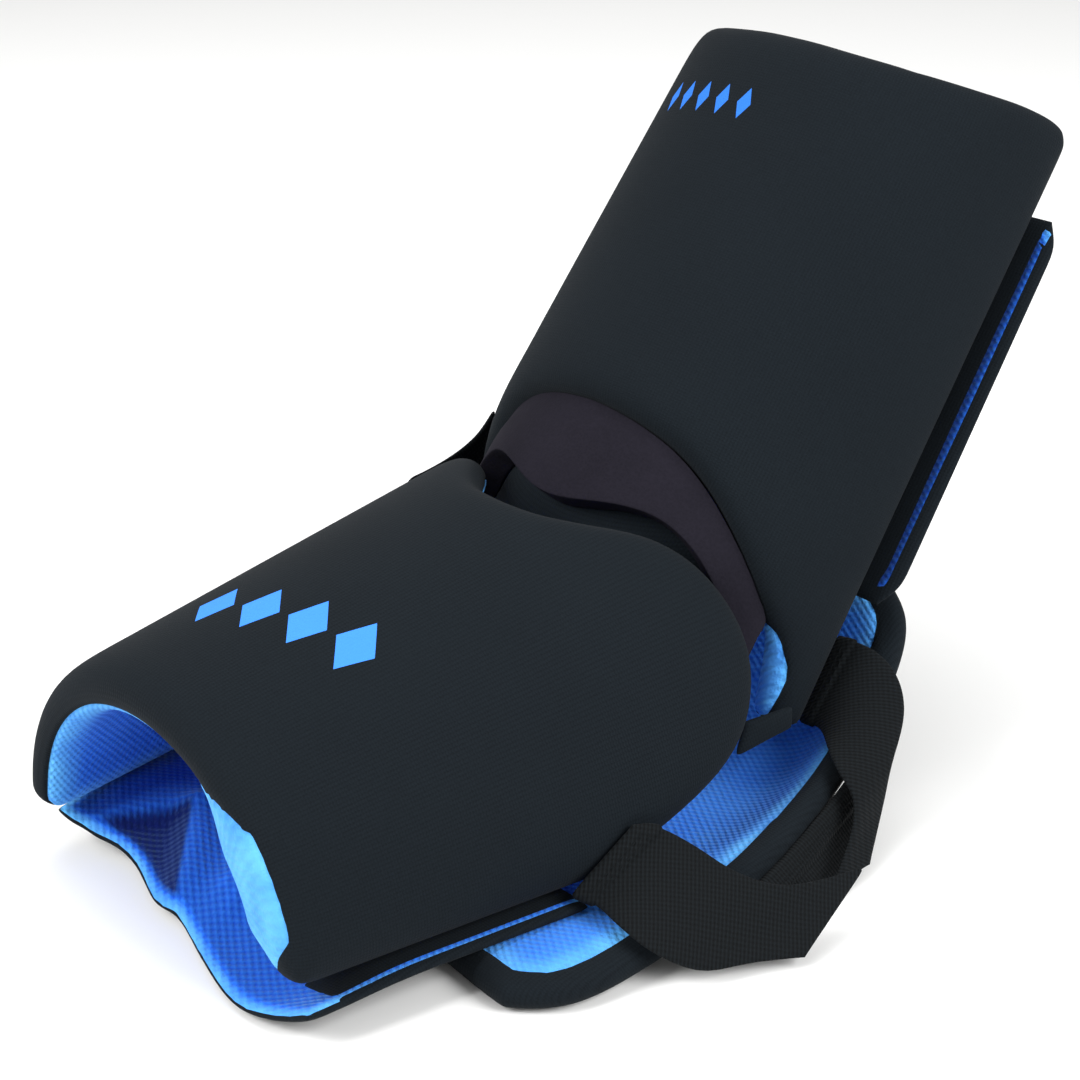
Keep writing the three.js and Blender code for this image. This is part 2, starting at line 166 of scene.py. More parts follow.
def cloth_ways(tree: NodeTree) -> tuple[NodeSocket, NodeSocket]:
    """Read the two directions of the cloth UV in metres, along the piece and around it."""
    uv = add_node(tree, "ShaderNodeUVMap", uv_map=UV_NAME)
    place = add_node(tree, "ShaderNodeSeparateXYZ", {0: uv.outputs["UV"]})
    return place.outputs["X"], place.outputs["Y"]


def ripple(tree: NodeTree, way: NodeSocket, length_mm: float, form: str = "SINE") -> NodeSocket:
    """Draw waves along one direction of the cloth.

    Args:
        tree: Material's node tree.
        way: Metres along the direction.
        length_mm: Length of one wave.
        form: Function of the wave.

    Returns:
        Height of the waves, from -1 to 1.
    """
    phase = add_node(tree, MATH, {0: way, 1: math.tau / (length_mm * MM)}, operation="MULTIPLY")
    return add_node(tree, MATH, {0: phase.outputs[0]}, operation=form).outputs[0]


def end_in_relief(
    tree: NodeTree,
    colour: NodeSocket,
    height: NodeSocket,
    relief: tuple[float, float],
    coat: Mapping[str, Any],
) -> None:
    """End a material in a shader whose surface has fine relief.

    Args:
        tree: Material's node tree.
        colour: Colour of the surface.
        height: Height of the relief.
        relief: Strength of the relief, and its depth in millimetres.
        coat: Further values of the shader.
    """
    strength, depth_mm = relief
    fine = {"Height": height, "Strength": strength, "Distance": depth_mm * MM}
    bump = add_node(tree, "ShaderNodeBump", fine)
    values = {"Base Color": colour, "Normal": bump.outputs["Normal"], **coat}
    shader = add_node(tree, "ShaderNodeBsdfPrincipled", values)
    add_node(tree, "ShaderNodeOutputMaterial", {"Surface": shader.outputs["BSDF"]})


@dataclass(frozen=True)
class Motif:
    """Row of plain printed lozenges on a cover, placed in the cover's own UV metres."""

    along: float
    around: float
    tilt: float
    pitch: float
    count: int
    half_width: float
    half_height: float
    ink: str = "#3f86f2"

    def print_over(self, tree: NodeTree, ways: Sequence[NodeSocket], ground: NodeSocket) -> NodeSocket:
        """Print the row over a ground colour.

        Args:
            tree: Material's node tree.
            ways: Two directions of the cloth UV.
            ground: Colour of the knit under the print.

        Returns:
            Colour socket with the print on it.
        """
        spot = add_node(tree, "ShaderNodeCombineXYZ", dict(enumerate(ways)))
        row_frame = {
            "Vector": spot.outputs[0],
            "Location": (self.along, self.around, 0.0),
            "Rotation": (0.0, 0.0, self.tilt),
        }
        local = add_node(tree, "ShaderNodeMapping", row_frame, vector_type="TEXTURE")
        axes = add_node(tree, "ShaderNodeSeparateXYZ", {0: local.outputs[0]})
        reach = self.pitch * self.count / 2
        from_start = add_node(tree, MATH, {0: axes.outputs["X"], 1: reach}, operation="ADD")
        in_cell = add_node(tree, MATH, {0: from_start.outputs[0], 1: self.pitch}, operation="FLOORED_MODULO")
        centred = add_node(tree, MATH, {0: in_cell.outputs[0], 1: self.pitch / 2}, operation="SUBTRACT")
        sideways = add_node(tree, MATH, {0: centred.outputs[0]}, operation="ABSOLUTE")
        upwards = add_node(tree, MATH, {0: axes.outputs["Y"]}, operation="ABSOLUTE")
        wide = add_node(tree, MATH, {0: sideways.outputs[0], 1: 1 / self.half_width}, operation="MULTIPLY")
        shares = {0: upwards.outputs[0], 1: 1 / self.half_height, 2: wide.outputs[0]}
        both_shares = add_node(tree, MATH, shares, operation="MULTIPLY_ADD")
        inside = add_node(tree, MATH, {0: both_shares.outputs[0], 1: 1.0}, operation="LESS_THAN")
        off_centre = add_node(tree, MATH, {0: axes.outputs["X"]}, operation="ABSOLUTE")
        in_row = add_node(tree, MATH, {0: off_centre.outputs[0], 1: reach}, operation="LESS_THAN")
        mask = add_node(tree, MATH, {0: inside.outputs[0], 1: in_row.outputs[0]}, operation="MULTIPLY")
        inks = {"Fac": mask.outputs[0], "Color1": ground, "Color2": to_linear(self.ink)}
        return add_node(tree, MIX, inks).outputs["Color"]


@dataclass(frozen=True)
class StretchKnit:
    """Fine black warp knit bonded to foam: matt, with a fine grain of loops."""

    name: str = "stretch_knit_black"
    thread: str = "#171d22"
    gap: str = "#0d1115"
    wale_mm: float = 1.0
    course_mm: float = 0.8
    leg_lean: float = 2.2
    row_share: float = 0.4
    fuzz_mm: float = 0.55
    fuzz_share: float = 2.2
    grain_range: tuple[float, float] = (0.6, 2.6)
    cloud_mm: float = 40.0
    cloud_share: float = 0.5
    relief: tuple[float, float] = (0.35, 0.14)
    roughness: float = 0.9
    specular: float = 0.06
    sheen: float = 0.02
    sheen_roughness: float = 0.5
    motif: Motif | None = None

    def material(self) -> Material:
        """Build the knit with its loops drawn on the cloth UV, coarser than life so that they show."""
        material, tree = new_material(self.name)
        along, around = cloth_ways(tree)
        rib = ripple(tree, around, 2 * self.wale_mm)
        leg = add_node(tree, MATH, {0: rib}, operation="ABSOLUTE")
        pace = math.tau / (self.course_mm * MM)
        course = add_node(tree, MATH, {0: along, 1: pace}, operation="MULTIPLY")
        leaning = {0: leg.outputs[0], 1: self.leg_lean, 2: course.outputs[0]}
        lean = add_node(tree, MATH, leaning, operation="MULTIPLY_ADD")
        row = add_node(tree, MATH, {0: lean.outputs[0]}, operation="SINE")
        looping = {0: row.outputs[0], 1: self.row_share, 2: leg.outputs[0]}
        loops = add_node(tree, MATH, looping, operation="MULTIPLY_ADD")
        body = add_node(tree, "ShaderNodeTexCoord").outputs["Object"]
        fuzz = add_node(tree, NOISE, {"Vector": body, "Scale": 1 / (self.fuzz_mm * MM), "Detail": 2.0})
        cloud = add_node(tree, NOISE, {"Vector": body, "Scale": 1 / (self.cloud_mm * MM), "Detail": 3.0})
        fuzzing = {0: fuzz.outputs["Fac"], 1: self.fuzz_share, 2: loops.outputs[0]}
        height = add_node(tree, MATH, fuzzing, operation="MULTIPLY_ADD").outputs[0]
        low, high = self.grain_range
        grain = add_node(tree, SPREAD, {"Value": height, "From Min": low, "From Max": high})
        clouding = {0: cloud.outputs["Fac"], 1: self.cloud_share, 2: grain.outputs[0]}
        shade = add_node(tree, MATH, clouding, operation="MULTIPLY_ADD")
        tone = add_node(tree, SPREAD, {"Value": shade.outputs[0], "From Max": 1 + self.cloud_share})
        yarns = {"Fac": tone.outputs[0], "Color1": to_linear(self.gap), "Color2": to_linear(self.thread)}
        colour = add_node(tree, MIX, yarns).outputs["Color"]
        if self.motif is not None:
            colour = self.motif.print_over(tree, (along, around), colour)
        coat = {
            "Roughness": self.roughness,
            "Specular IOR Level": self.specular,
            "Sheen Weight": self.sheen,
            "Sheen Roughness": self.sheen_roughness,
        }
        end_in_relief(tree, colour, height, self.relief, coat)
        return material


@dataclass(frozen=True)
class BrushedPlush:
    """Blue brushed loop lining: rows of small knit dots, with a pale colour where it bends over a rim, partly
    brushed pile and partly painted highlight, and a painted shade colour where it lies in shadow.
    """

    name: str = "brushed_plush_blue"
    # Painted shade colour, laid where the nap is negative: in hollows, under overhangs and over linings that
    # lie in shadow
    painted_shade: str = "#041250"
    deep: str = "#1250cf"
    loop: str = "#2f7eee"
    # Pale colour, partly brushed pile and partly painted highlight where rims and edges catch light
    brushed_highlight: str = "#5eb0ee"
    sheen_tint: str = "#9fd2ff"
    dot_mm: float = 2.1
    row_mm: float = 1.7
    fibre_mm: float = 0.6
    fibre_share: float = 1.6
    tone_range: tuple[float, float] = (-0.4, 2.0)
    cloud_mm: float = 12.0
    cloud_range: tuple[float, float] = (0.3, 0.7)
    wisp_low: float = 0.5
    relief: tuple[float, float] = (0.6, 0.4)
    roughness: float = 0.95
    specular: float = 0.1
    sheen: float = 0.3
    sheen_roughness: float = 0.5

    def material(self) -> Material:
        """Build the plush from staggered dots, fibre noise and the nap attribute, which carries brushed pile,
        painted highlight and painted shade.
        """
        material, tree = new_material(self.name)
        along, around = cloth_ways(tree)
        columns = ripple(tree, along, self.dot_mm, "COSINE")
        rows = ripple(tree, around, 2 * self.row_mm, "COSINE")
        dots = add_node(tree, MATH, {0: columns, 1: rows}, operation="MULTIPLY")
        body = add_node(tree, "ShaderNodeTexCoord").outputs["Object"]
        fibre = add_node(tree, NOISE, {"Vector": body, "Scale": 1 / (self.fibre_mm * MM), "Detail": 3.0})
        cloud = add_node(tree, NOISE, {"Vector": body, "Scale": 1 / (self.cloud_mm * MM), "Detail": 2.0})
        piling = {0: fibre.outputs["Fac"], 1: self.fibre_share, 2: dots.outputs[0]}
        height = add_node(tree, MATH, piling, operation="MULTIPLY_ADD").outputs[0]
        low, high = self.tone_range
        tone = add_node(tree, SPREAD, {"Value": height, "From Min": low, "From Max": high})
        thin, thick = self.cloud_range
        wisp_spread = {
            "Value": cloud.outputs["Fac"],
            "From Min": thin,
            "From Max": thick,
            "To Min": self.wisp_low,
            "To Max": 1.0,
        }
        wisps = add_node(tree, SPREAD, wisp_spread)
        nap_and_painted_light = add_node(tree, "ShaderNodeAttribute", attribute_name=NAP_AND_LIGHT_NAME).outputs["Fac"]
        # Painted highlight and brushed pile: the positive part of the nap lays the pale colour
        brushed_highlight_share = add_node(tree, MATH, {0: nap_and_painted_light, 1: 0.0}, operation="MAXIMUM")
        brushed_highlight_mix = add_node(tree, MATH, {0: brushed_highlight_share.outputs[0], 1: wisps.outputs[0]}, operation="MULTIPLY")
        # Painted shade: the negative part of the nap lays the dark colour
        painted_shade_share = add_node(tree, MATH, {0: nap_and_painted_light, 1: -1.0}, operation="MULTIPLY", use_clamp=True)
        # Each layer is laid over the one before by its own share
        layers = ((tone, self.loop), (painted_shade_share, self.painted_shade), (brushed_highlight_mix, self.brushed_highlight))
        colour: Any = to_linear(self.deep)
        for share, pile in layers:
            laid = {"Fac": share.outputs[0], "Color1": colour, "Color2": to_linear(pile)}
            colour = add_node(tree, MIX, laid).outputs["Color"]
        coat = {
            "Roughness": self.roughness,
            "Specular IOR Level": self.specular,
            "Sheen Weight": self.sheen,
            "Sheen Roughness": self.sheen_roughness,
            "Sheen Tint": to_linear(self.sheen_tint),
        }
        end_in_relief(tree, colour, height, self.relief, coat)
        return material


@dataclass(frozen=True)
class CutFoam:
    """Bare grey closed-cell foam with a cut skin: matt, faintly purple, pitted by its cells."""

    name: str = "cut_foam_grey"
    light: str = "#1e1c24"
    dark: str = "#121117"
    cell_mm: float = 0.8
    cell_share: float = 0.5
    cloud_mm: float = 18.0
    relief: tuple[float, float] = (0.4, 0.2)
    roughness: float = 0.95
    specular: float = 0.08

    def material(self) -> Material:
        """Build the foam from a cell pattern and slow shade."""
        material, tree = new_material(self.name)
        body = add_node(tree, "ShaderNodeTexCoord").outputs["Object"]
        cells = add_node(tree, "ShaderNodeTexVoronoi", {"Vector": body, "Scale": 1 / (self.cell_mm * MM)})
        cloud = add_node(tree, NOISE, {"Vector": body, "Scale": 1 / (self.cloud_mm * MM), "Detail": 4.0})
        pitting = {0: cells.outputs["Distance"], 1: self.cell_share, 2: cloud.outputs["Fac"]}
        mix = add_node(tree, MATH, pitting, operation="MULTIPLY_ADD")
        greys = {"Fac": mix.outputs[0], "Color1": to_linear(self.dark), "Color2": to_linear(self.light)}
        colour = add_node(tree, MIX, greys).outputs["Color"]
        coat = {"Roughness": self.roughness, "Specular IOR Level": self.specular}
        end_in_relief(tree, colour, cells.outputs["Distance"], self.relief, coat)
        return material


@dataclass(frozen=True)
class WovenElastic:
    """Black woven elastic: close ribs across the band, fine warp lines along it, nearly matt."""

    name: str = "woven_elastic_black"
    rib: str = "#14181b"
    groove: str = "#070809"
    rib_mm: float = 1.0
    warp_mm: float = 1.3
    warp_share: float = 0.45
    fuzz_mm: float = 0.5
    fuzz_share: float = 1.4
    tone_range: tuple[float, float] = (-1.0, 2.2)
    relief: tuple[float, float] = (0.5, 0.2)
    roughness: float = 0.82
    specular: float = 0.08
    sheen: float = 0.02

    def material(self) -> Material:
        """Build the elastic from ribs across its UV and warp lines along it."""
        material, tree = new_material(self.name)
        along, around = cloth_ways(tree)
        weaving = {
            0: ripple(tree, around, self.warp_mm),
            1: self.warp_share,
            2: ripple(tree, along, self.rib_mm),
        }
        weave = add_node(tree, MATH, weaving, operation="MULTIPLY_ADD")
        body = add_node(tree, "ShaderNodeTexCoord").outputs["Object"]
        fuzz = add_node(tree, NOISE, {"Vector": body, "Scale": 1 / (self.fuzz_mm * MM), "Detail": 2.0})
        fuzzing = {0: fuzz.outputs["Fac"], 1: self.fuzz_share, 2: weave.outputs[0]}
        height = add_node(tree, MATH, fuzzing, operation="MULTIPLY_ADD").outputs[0]
        low, high = self.tone_range
        tone = add_node(tree, SPREAD, {"Value": height, "From Min": low, "From Max": high})
        blacks = {"Fac": tone.outputs[0], "Color1": to_linear(self.groove), "Color2": to_linear(self.rib)}
        colour = add_node(tree, MIX, blacks).outputs["Color"]
        coat = {"Roughness": self.roughness, "Specular IOR Level": self.specular, "Sheen Weight": self.sheen}
        end_in_relief(tree, colour, height, self.relief, coat)
        return material


@dataclass(frozen=True)
class Finishes:
    """All finishes of the guard, built once."""

    forearm_knit: Material
    upper_knit: Material
    knit: Material
    plush: Material
    foam: Material
    elastic: Material


@dataclass(frozen=True)
class ArmTube:
    """Half-pipe axis of a foam shell: where it starts, which way it runs and how wide it is outside."""

    start: Vector
    axis: Vector
    outward: Vector
    radius: float
    taper: float
    height_share: float = 0.98

    def measure(self, points: np.ndarray) -> tuple[np.ndarray, np.ndarray, np.ndarray]:
        """Measure points in the tube's own way.

        Args:
            points: Array of n points.

        Returns:
            Distance along the axis, angle from the crown (negative on the strap side), and depth below the
            outside.
        """
        side = np.array(self.outward.cross(self.axis))
        local = points - np.array(self.start)
        along = local @ np.array(self.axis)
        across = local @ side
        out = local @ np.array(self.outward) / self.height_share
        depth = self.radius + self.taper * along - np.hypot(across, out)
        return along, np.arctan2(across, out), depth


def points_of(mesh: Mesh) -> np.ndarray:
    """Read a mesh's points as an n by 3 array."""
    flat = np.empty(len(mesh.vertices) * 3)
    mesh.vertices.foreach_get("co", flat)
    return flat.reshape(-1, 3)


def normals_of(mesh: Mesh) -> np.ndarray:
    """Read a mesh's point normals as an n by 3 array."""
    flat = np.empty(len(mesh.vertices) * 3, dtype=np.float32)
    mesh.vertex_normals.foreach_get("vector", flat)
    return flat.reshape(-1, 3).astype(float)


def place_points(mesh: Mesh, points: np.ndarray) -> None:
    """Write an n by 3 array into a mesh's points."""
    mesh.vertices.foreach_set("co", points.ravel())
    mesh.update()


def smooth_step(low: float, high: float, values: np.ndarray) -> np.ndarray:
    """Ease values from 0 at low to 1 at high."""
    share = np.clip((values - low) / (high - low), 0, 1)
    return share * share * (3 - 2 * share)


def new_object(name: str, mesh: Mesh, materials: Sequence[Material]) -> Object:
    """Link a mesh as a piece with its materials.

    Args:
        name: Name of the piece.
        mesh: Its mesh, in place.
        materials: Materials in the order of the faces' indices.

    Returns:
        The linked object.
    """
    piece = bpy.data.objects.new(name, mesh)
    bpy.context.scene.collection.objects.link(piece)
    for material in materials:
        piece.data.materials.append(material)
    return piece


def bake_modifiers(piece: Object) -> None:
    """Turn a piece's modifiers into plain mesh."""
    graph = bpy.context.evaluated_depsgraph_get()
    made = bpy.data.meshes.new_from_object(piece.evaluated_get(graph))
    piece.modifiers.clear()
    old = piece.data
    piece.data = made
    bpy.data.meshes.remove(old)


def subdivide(piece: Object, levels: int) -> None:
    """Smooth a piece by Catmull-Clark subdivision and keep the result.

    Args:
        piece: Object to refine.
        levels: Number of subdivisions.
    """
    modifier = piece.modifiers.new("smooth", "SUBSURF")
    modifier.levels = levels
    modifier.render_levels = levels
    bake_modifiers(piece)
    piece.data.shade_smooth()


def register(piece: Object, slot: Slot, *nodes: str) -> None:
    """Ride a piece on the guard's one body in place of its CAD nodes.

    Args:
        piece: Finished piece.
        slot: Record slot of its finish; not used.
        nodes: CAD nodes that it stands for.
    """
    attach(piece, BODY)
    if nodes:
        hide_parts(*nodes)
    LOG.info("%s has %d faces", piece.name, len(piece.data.polygons))


class SkinField:
    """Tells how far a point lies past the border of a padded sheet's flat lining: positive on the lining."""

    ray_start: float = 0.05 * MM
    facing_away: float = -0.97
    wall_slack: float = 0.2

    def __init__(self, shape: bmesh.types.BMesh, wall: float, inward: Callable[[Vector], Vector]) -> None:
        """Sort the flat faces of a CAD solid into cover and lining.

        Args:
            shape: Closed padded sheet.
            wall: Its thickness.
            inward: Rough direction of the lined side at a point.
        """
        whole = BVHTree.FromBMesh(shape)
        lined: list[list[int]] = []
        other: list[list[int]] = []
        for face in shape.faces:
            centre = face.calc_center_median()
            _, normal, _, gap = whole.ray_cast(centre - face.normal * self.ray_start, -face.normal)
            opposed = normal is not None and normal.dot(face.normal) < self.facing_away
            flat = opposed and abs(gap - wall) < self.wall_slack * wall
            corners = [corner.index for corner in face.verts]
            (lined if flat and inward(centre).dot(face.normal) > 0 else other).append(corners)
        places = [corner.co.copy() for corner in shape.verts]
        self._lined = BVHTree.FromPolygons(places, lined)
        self._other = BVHTree.FromPolygons(places, other)

    def past(self, points: np.ndarray) -> np.ndarray:
        """Distance past the lining's border.

        Args:
            points: Array of n points on or near the sheet.

        Returns:
            Metres in from the border on the lining, or minus the metres out from it elsewhere.
        """
        spots = [Vector(point) for point in points]
        inside = np.array([self._other.find_nearest(spot)[3] for spot in spots])
        outside = np.array([self._lined.find_nearest(spot)[3] for spot in spots])
        return inside - outside


def cad_triangles(node: Object, merge: float = 0.01 * MM) -> bmesh.types.BMesh:
    """Copy a CAD node's loose triangles into one joined mesh.

    Args:
        node: CAD object of the frame.
        merge: Distance within which points are doubles.

    Returns:
        Mesh with its doubles merged.
    """
    shape = bmesh.new()
    shape.from_mesh(node.data)
    bmesh.ops.remove_doubles(shape, verts=shape.verts, dist=merge)
    shape.verts.index_update()
    shape.normal_update()
    return shape


def surface_of(shape: bmesh.types.BMesh) -> BVHTree:
    """Make a search tree over the faces of a shape, which is freed."""
    tree = BVHTree.FromBMesh(shape)
    shape.free()
    return tree


def quad_mesh(name: str, shape: bmesh.types.BMesh, fold: float = 50.0, skew: float = 80.0) -> Mesh:
    """Join triangles back into the quads that they were cut from, and keep the result.

    Args:
        name: Name of the mesh.
        shape: Triangles, which are freed.
        fold: Largest angle between two joined triangles, in degrees.
        skew: Largest skew of a joined quad, in degrees.

    Returns:
        The new mesh.
    """
    bmesh.ops.join_triangles(
        shape,
        faces=shape.faces,
        angle_face_threshold=math.radians(fold),
        angle_shape_threshold=math.radians(skew),
    )
    mesh = bpy.data.meshes.new(name)
    shape.to_mesh(mesh)
    shape.free()
    return mesh


def cut_seam(mesh: Mesh, field_values: np.ndarray, snap: float = 0.12) -> None:
    """Cut a mesh along the line where a field is zero, and give the positive side to the lining.

    Args:
        mesh: Mesh to cut.
        field_values: One value for each point.
        snap: Share of an edge within which its end is taken as lying on the line.
    """
    shape = bmesh.new()
    shape.from_mesh(mesh)
    layer = shape.verts.layers.float.new("seam")
    for corner, value in zip(shape.verts, field_values):
        corner[layer] = value
    for edge in shape.edges:
        first, last = edge.verts
        if first[layer] * last[layer] < 0:
            share = first[layer] / (first[layer] - last[layer])
            if share < snap:
                first[layer] = 0.0
            elif share > 1 - snap:
                last[layer] = 0.0
    for edge in [edge for edge in shape.edges if edge.verts[0][layer] * edge.verts[1][layer] < 0]:
        first, last = edge.verts
        share = first[layer] / (first[layer] - last[layer])
        _, corner = bmesh.utils.edge_split(edge, first, share)
        corner[layer] = 0.0
    on_line = [corner for corner in shape.verts if corner[layer] == 0.0]
    bmesh.ops.connect_verts(shape, verts=on_line)
    for face in shape.faces:
        lined = sum(corner[layer] for corner in face.verts) > 0
        face.material_index = Skin.LINING.value if lined else Skin.COVER.value
        face.smooth = True
    shape.verts.layers.float.remove(layer)
    shape.to_mesh(mesh)
    shape.free()


def press_seam(mesh: Mesh, depth: float) -> None:
    """Press the line between cover and lining into the padding.

    Args:
        mesh: Mesh with both skins.
        depth: How deep the line lies.
    """
    skins: list[set[int]] = [set() for _ in mesh.vertices]
    for face in mesh.polygons:
        for k in face.vertices:
            skins[k].add(face.material_index)
    on_line = np.array([len(found) > 1 for found in skins], dtype=float)[:, None]
    place_points(mesh, points_of(mesh) - normals_of(mesh) * on_line * depth)


def lay_cloth(piece: Object, mapping: Callable[[np.ndarray, np.ndarray], np.ndarray]) -> None:
    """Write the cloth UV of a piece in metres.

    Args:
        piece: Object to map.
        mapping: Function of the corners' points and their lining flags that gives UVs.
    """
    mesh = piece.data
    corners = np.empty(len(mesh.loops), dtype=int)
    skins, sizes = np.empty((2, len(mesh.polygons)), dtype=int)
    mesh.loops.foreach_get("vertex_index", corners)
    mesh.polygons.foreach_get("material_index", skins)
    mesh.polygons.foreach_get("loop_total", sizes)
    lined = np.repeat(skins, sizes) == Skin.LINING.value
    layer = mesh.uv_layers.get(UV_NAME) or mesh.uv_layers.new(name=UV_NAME)
    layer.data.foreach_set("uv", mapping(points_of(mesh)[corners], lined).ravel())


def set_nap_and_painted_light(piece: Object, values: np.ndarray) -> None:
    """Write the lining's nap at each point of a piece: 1 pale, brushed pile with painted highlight; -1
    painted shade.
    """
    attribute = piece.data.attributes.new(NAP_AND_LIGHT_NAME, "FLOAT", "POINT")
    attribute.data.foreach_set("value", np.clip(values, -1, 1).astype(np.float32))


@dataclass(frozen=True)
class Puff:
    """Settings of the small pressure simulation that swells a padded cover over its foam."""

    pressure: float = 4.0
    frames: int = 20
    quality: int = 5
    mass: float = 0.25
    stretch_stiffness: float = 20.0
    bending_stiffness: float = 4.0
    cap: float = 1.2 * MM
    seam_group: str = "seam"
    seam_half: float = 0.8 * MM

    def swell(self, piece: Object, seam_field: np.ndarray) -> None:
        """Blow a padded piece up a little with the cloth solver and keep the capped result.

        Args:
            piece: Closed padded piece.
            seam_field: Zero at points on the sewn line, which stay where they are.
        """
        scene = bpy.context.scene
        group = piece.vertex_groups.new(name=self.seam_group)
        group.add([int(k) for k in np.flatnonzero(np.abs(seam_field) < self.seam_half)], 1.0, "REPLACE")
        rest = points_of(piece.data)
        cloth = piece.modifiers.new("cover", "CLOTH")
        settings = cloth.settings
        settings.quality = self.quality
        settings.mass = self.mass
        settings.tension_stiffness = self.stretch_stiffness
        settings.compression_stiffness = self.stretch_stiffness
        settings.bending_stiffness = self.bending_stiffness
        settings.use_pressure = True
        settings.uniform_pressure_force = self.pressure
        settings.effector_weights.gravity = 0
        settings.vertex_group_mass = self.seam_group
        cloth.point_cache.frame_start = 1
        cloth.point_cache.frame_end = self.frames
        for frame in range(1, self.frames + 1):
            scene.frame_set(frame)
        shown = piece.evaluated_get(bpy.context.evaluated_depsgraph_get())
        moved = points_of(shown.to_mesh()) - rest
        shown.to_mesh_clear()
        piece.modifiers.remove(cloth)
        piece.vertex_groups.clear()
        scene.frame_set(1)
        length = np.linalg.norm(moved, axis=1, keepdims=True)
        LOG.info("%s swells %.2f mm at most", piece.name, length.max() / MM)
        limited = self.cap * np.tanh(length / self.cap)
        place_points(piece.data, rest + moved * limited / np.maximum(length, TINY))


@dataclass(frozen=True)
class RimWrap:
    """Stretch of a shell's rim where the lining is drawn further over the edge and may swell inwards."""

    angles: tuple[float, float, float, float]
    reach: tuple[float, float]
    drawn: float
    swell: float = 0.0

    def share(self, along: np.ndarray, angle: np.ndarray) -> np.ndarray:
        """How far points lie inside the stretch.

        Args:
            along: Distances along the shell.
            angle: Angles from the crown in radians.

        Returns:
            1 in the middle of the stretch, easing to 0 at its ends.
        """
        start, full, leave, end = self.angles
        degrees = np.degrees(angle)
        window = smooth_step(start, full, degrees) * (1 - smooth_step(leave, end, degrees))
        return window * (1 - smooth_step(*self.reach, along))


@dataclass
class FoamShell:
    """Padded half-pipe of the forearm or the upper arm: knit outside, plush inside, rolled rims."""

    node: str
    tube: ArmTube
    cover: Material
    lining: Material
    seam_past: float
    wraps: tuple[RimWrap, ...] = ()
    wall: float = 14 * MM
    seam_depth: float = 0.45 * MM
    # Pale lining band along the rims: partly brushed pile, partly painted highlight
    brushed_highlight_past: tuple[float, float] = (-6 * MM, 4 * MM)
    swell_past: tuple[float, float] = (-11 * MM, -4 * MM)
    rim_roll: float = 0.57
    foot_angle: float = math.radians(76)
    fill: float = 0.9
    puff: Puff = field(default_factory=Puff)

    def _inward(self, point: Vector) -> Vector:
        """Direction from a point of the shell towards its axis."""
        local = point - self.tube.start
        return self.tube.axis * local.dot(self.tube.axis) - local

    def _seam_field(self, skins: SkinField, points: np.ndarray) -> np.ndarray:
        """Signed distance past the sewn line between cover and lining."""
        along, angle, _ = self.tube.measure(points)
        drawn = sum((wrap.drawn * wrap.share(along, angle) for wrap in self.wraps), np.zeros(len(points)))
        return skins.past(points) - self.seam_past + drawn

    def _swollen(self, past: np.ndarray, points: np.ndarray) -> np.ndarray:
        """Push the lining towards the arm where it swells."""
        along, angle, _ = self.tube.measure(points)
        local = points - np.array(self.tube.start)
        axis = np.array(self.tube.axis)
        radial = local - np.outer(local @ axis, axis)
        inward = -radial / np.linalg.norm(radial, axis=1, keepdims=True)
        lift = sum((wrap.swell * wrap.share(along, angle) for wrap in self.wraps), np.zeros(len(points)))
        return points + inward * (lift * smooth_step(*self.swell_past, past))[:, None]

    def _cloth(self, points: np.ndarray, lined: np.ndarray) -> np.ndarray:
        """Unroll cover and lining, each continuing over its half of the rim."""
        along, angle, depth = self.tube.measure(points)
        roll = self.rim_roll * np.where(lined, self.wall - depth, depth)
        middle = (along.min() + along.max()) / 2
        foot = smooth_step(self.foot_angle, math.pi / 2, np.abs(angle))
        u = along + np.where(along < middle, -roll, roll) * (1 - foot)
        v = angle * self.tube.radius + np.sign(angle) * roll * foot
        return np.stack([u, v], axis=1)

    def build(self, nodes: Mapping[str, Object]) -> Object:
        """Make the shell from its CAD solid.

        Args:
            nodes: CAD nodes of the frame.

        Returns:
            The finished piece.
        """
        shape = cad_triangles(nodes[self.node])
        skins = SkinField(shape, self.wall, self._inward)
        name = self.node + "_padded"
        piece = new_object(name, quad_mesh(name, shape), [self.cover, self.lining])
        subdivide(piece, 1)
        self.puff.swell(piece, self._seam_field(skins, points_of(piece.data)))
        subdivide(piece, 1)
        cut_seam(piece.data, self._seam_field(skins, points_of(piece.data)))
        past = skins.past(points_of(piece.data))
        lay_cloth(piece, self._cloth)
        # Pale lining near the rims: partly brushed pile, partly painted highlight where the rims catch light
        set_nap_and_painted_light(piece, 1 - smooth_step(*self.brushed_highlight_past, past))
        press_seam(piece.data, self.seam_depth)
        place_points(piece.data, self._swollen(past, points_of(piece.data)))
        register(piece, Slot.KNIT, self.node)
        return piece


